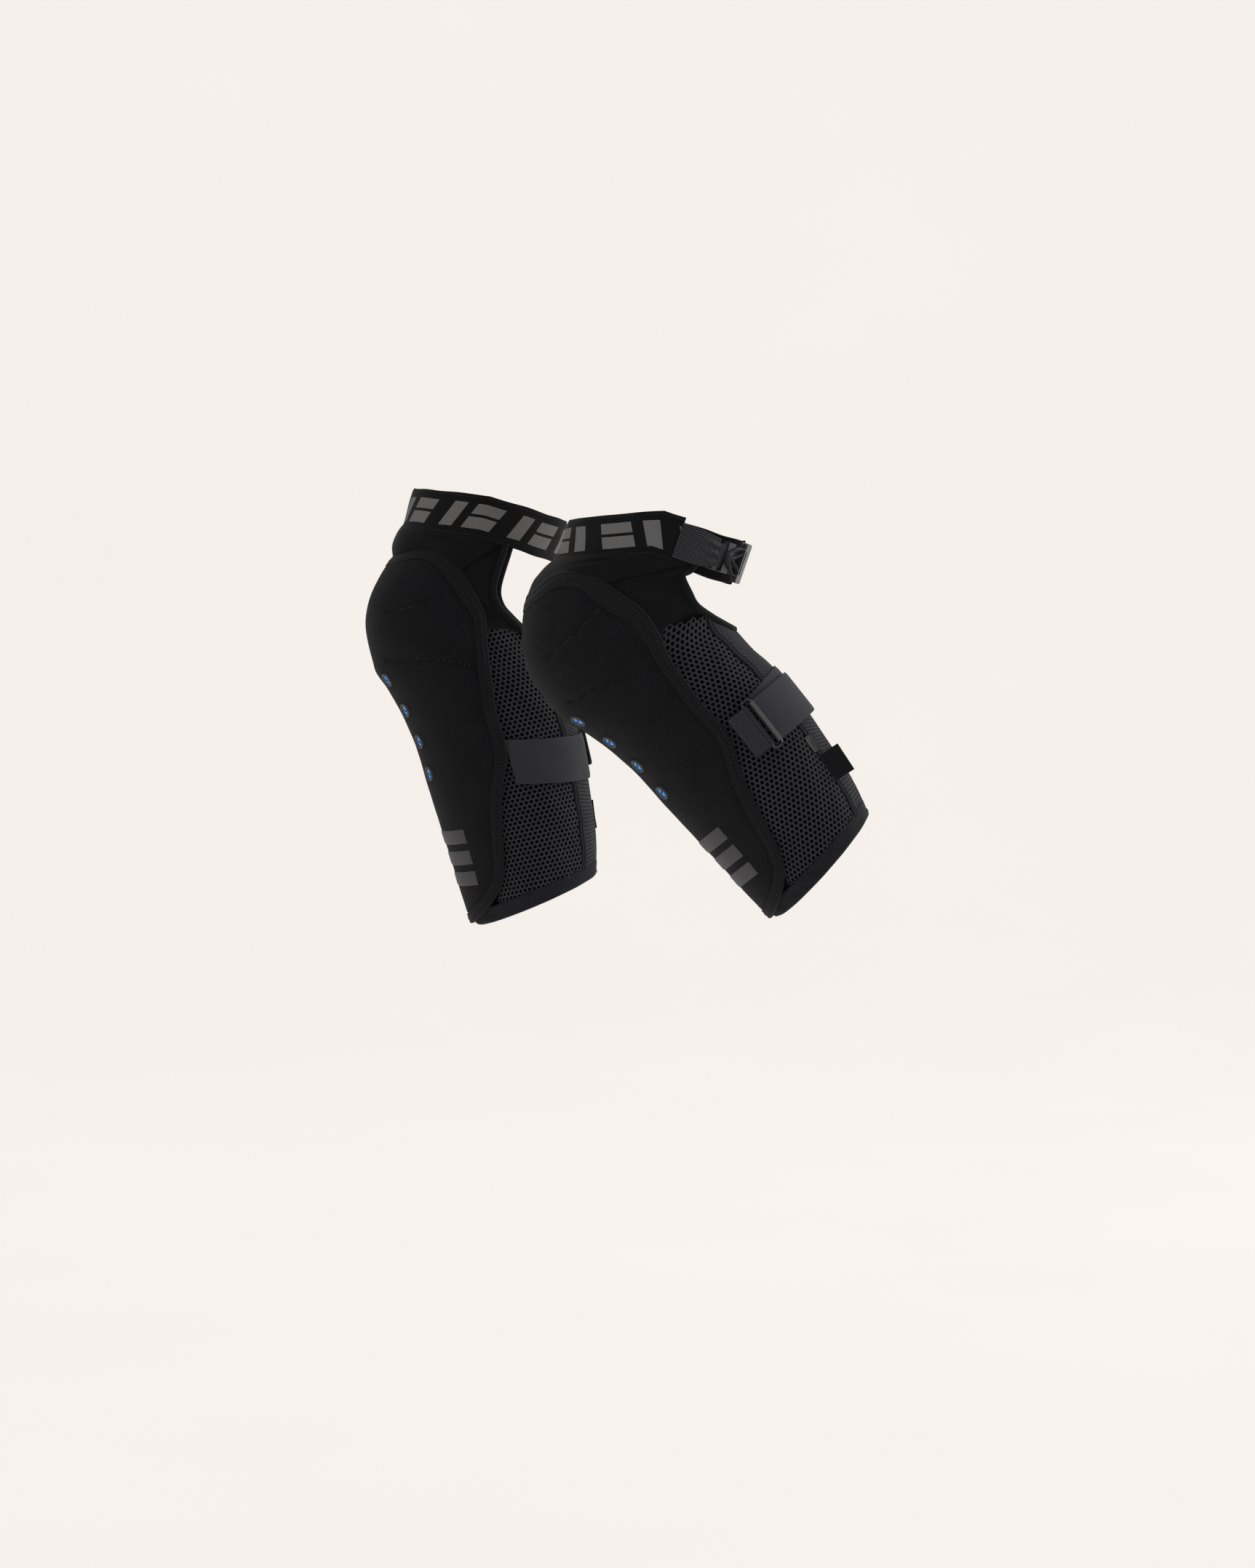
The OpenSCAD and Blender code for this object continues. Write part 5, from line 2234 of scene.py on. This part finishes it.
@dataclass(frozen=True)
class Studio:
    """A pale seamless floor, soft lights and the camera."""

    target: tuple[float, float, float] = (0.0, 0.023, -0.104)
    distance: float = 3.2
    lens: float = 93.7
    floor_z: float = -0.509
    paper: tuple[float, float, float] = (0.913, 0.871, 0.831)

    def build(self) -> None:
        """Builds the studio."""
        self.sweep()
        world = bpy.data.worlds.new("studio")
        world.use_nodes = True
        back = world.node_tree.nodes["Background"]
        back.inputs[0].default_value = (*self.paper, 1.0)
        back.inputs[1].default_value = 0.32
        bpy.context.scene.world = world
        bpy.context.scene.view_settings.view_transform = "Standard"
        self.light("key", (0.9, -1.1, 1.7), 1.4, 12.0)
        self.light("fill", (2.4, 0.9, 0.4), 1.8, 3.0)
        self.light("rim", (-0.5, 1.8, 0.9), 1.2, 26.0)
        self.light("top", (-0.3, 0.2, 2.2), 1.4, 10.0)
        self.camera()

    def sweep(self) -> None:
        """Builds the floor, curved up into the background."""
        profile = [(9.0, self.floor_z), (-1.6, self.floor_z)]
        profile += [
            (-1.6 - 1.2 * math.sin(q), self.floor_z + 1.2 - 1.2 * math.cos(q))
            for q in np.linspace(0.1, 1.5, 14)
        ]
        profile += [(-2.8, 4.0)]
        points = np.array([[[x, y, z] for y in (-9.0, 9.0)] for x, z in profile])
        mesh = new_mesh("studio_floor", points, grid_faces(len(profile), 2))
        if mesh.polygons[0].normal.z < 0:
            mesh.flip_normals()
        floor = add_piece("studio_floor", mesh, None)
        t = ShaderTree("studio_paper")
        at = t.place(False)
        tint = t.blend(t.noise(at, 300.0, 2.0), tuple(x * 0.985 for x in self.paper), self.paper)
        dim = t.blend(t.noise(at, 300.0, 2.0), (0.10, 0.095, 0.09), (0.12, 0.115, 0.11))
        t.links.new(dim, t.shader.inputs["Base Color"])
        t.links.new(tint, t.shader.inputs["Emission Color"])
        t.shader.inputs["Emission Strength"].default_value = 0.92
        t.shader.inputs["Specular IOR Level"].default_value = 0.0
        t.shader.inputs["Roughness"].default_value = 0.9
        mesh.materials.append(t.material)

    def light(self, name: str, place: tuple[float, float, float], size: float, watts: float) -> None:
        """Hangs one soft light that faces the guards.

        Args:
            name: Its name.
            place: Where it hangs.
            size: How wide it is.
            watts: How strong it is.
        """
        lamp = bpy.data.lights.new(f"studio_{name}", "AREA")
        lamp.energy, lamp.size, lamp.shape = watts, size, "DISK"
        obj = bpy.data.objects.new(f"studio_{name}", lamp)
        bpy.context.scene.collection.objects.link(obj)
        obj.location = place
        aim = Vector(self.target) - Vector(place)
        obj.rotation_euler = aim.to_track_quat("-Z", "Y").to_euler()

    def camera(self) -> None:
        """Puts the camera in front of the outer side of the guards, two degrees above level."""
        eye = bpy.data.cameras.new("studio_camera")
        eye.lens, eye.sensor_width = self.lens, 36.0
        obj = bpy.data.objects.new("studio_camera", eye)
        bpy.context.scene.collection.objects.link(obj)
        tilt = math.radians(2.0)
        obj.location = Vector(self.target) + self.distance * Vector((math.cos(tilt), 0.0, math.sin(tilt)))
        obj.rotation_euler = (Vector(self.target) - obj.location).to_track_quat("-Z", "Y").to_euler()
        bpy.context.scene.camera = obj


def leg_forms() -> list[LegForm]:
    """Gives the worn shape of the left guard and of the right one.

    Returns:
        The two forms, the left one first.
    """
    left = LegForm(
        side=Side.LEFT, strap_slant=-6, band_front=72, thigh_front=53,
        crease=[[-72, -150], [-46, -142], [0, -126], [20, -110], [35, -97], [48, -94]],
        top_edge=[[100, 18], [112, 19], [123, 26], [135, 29], [148, 37], [160, 47], [172, 55], [180, 57]],
        ear=(85, 122), opening=[[-5.6, -88], [9.6, -83.5], [20, -82], [33.6, -86]],
        blend_tilt=math.radians(30), blend_low=68, blend_high=92,
    )
    right = LegForm(
        side=Side.RIGHT, strap_slant=12, band_front=90, thigh_front=48,
        crease=[[-72, -135], [-46, -118], [-12, -99], [5, -91], [25, -87], [42, -90]],
        top_edge=[[100, 3], [122, 4], [130, 8], [143, 21], [160, 37], [172, 43], [180, 45]],
        ear=(79, 112), opening=[[-23, -60], [-8, -59], [4, -65], [18, -74]],
        blend_tilt=math.radians(30), blend_low=60, blend_high=90,
    )
    return [left, right]


def main() -> None:
    """Builds the guards and the studio."""
    logging.basicConfig(level=logging.INFO, format="%(message)s")
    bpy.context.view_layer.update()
    cloths, growth = Finishes(), Growth()
    for form in leg_forms():
        KneeGuard(form, cloths, growth).build()
    Studio().build()


if __name__ == "__main__":
    main()
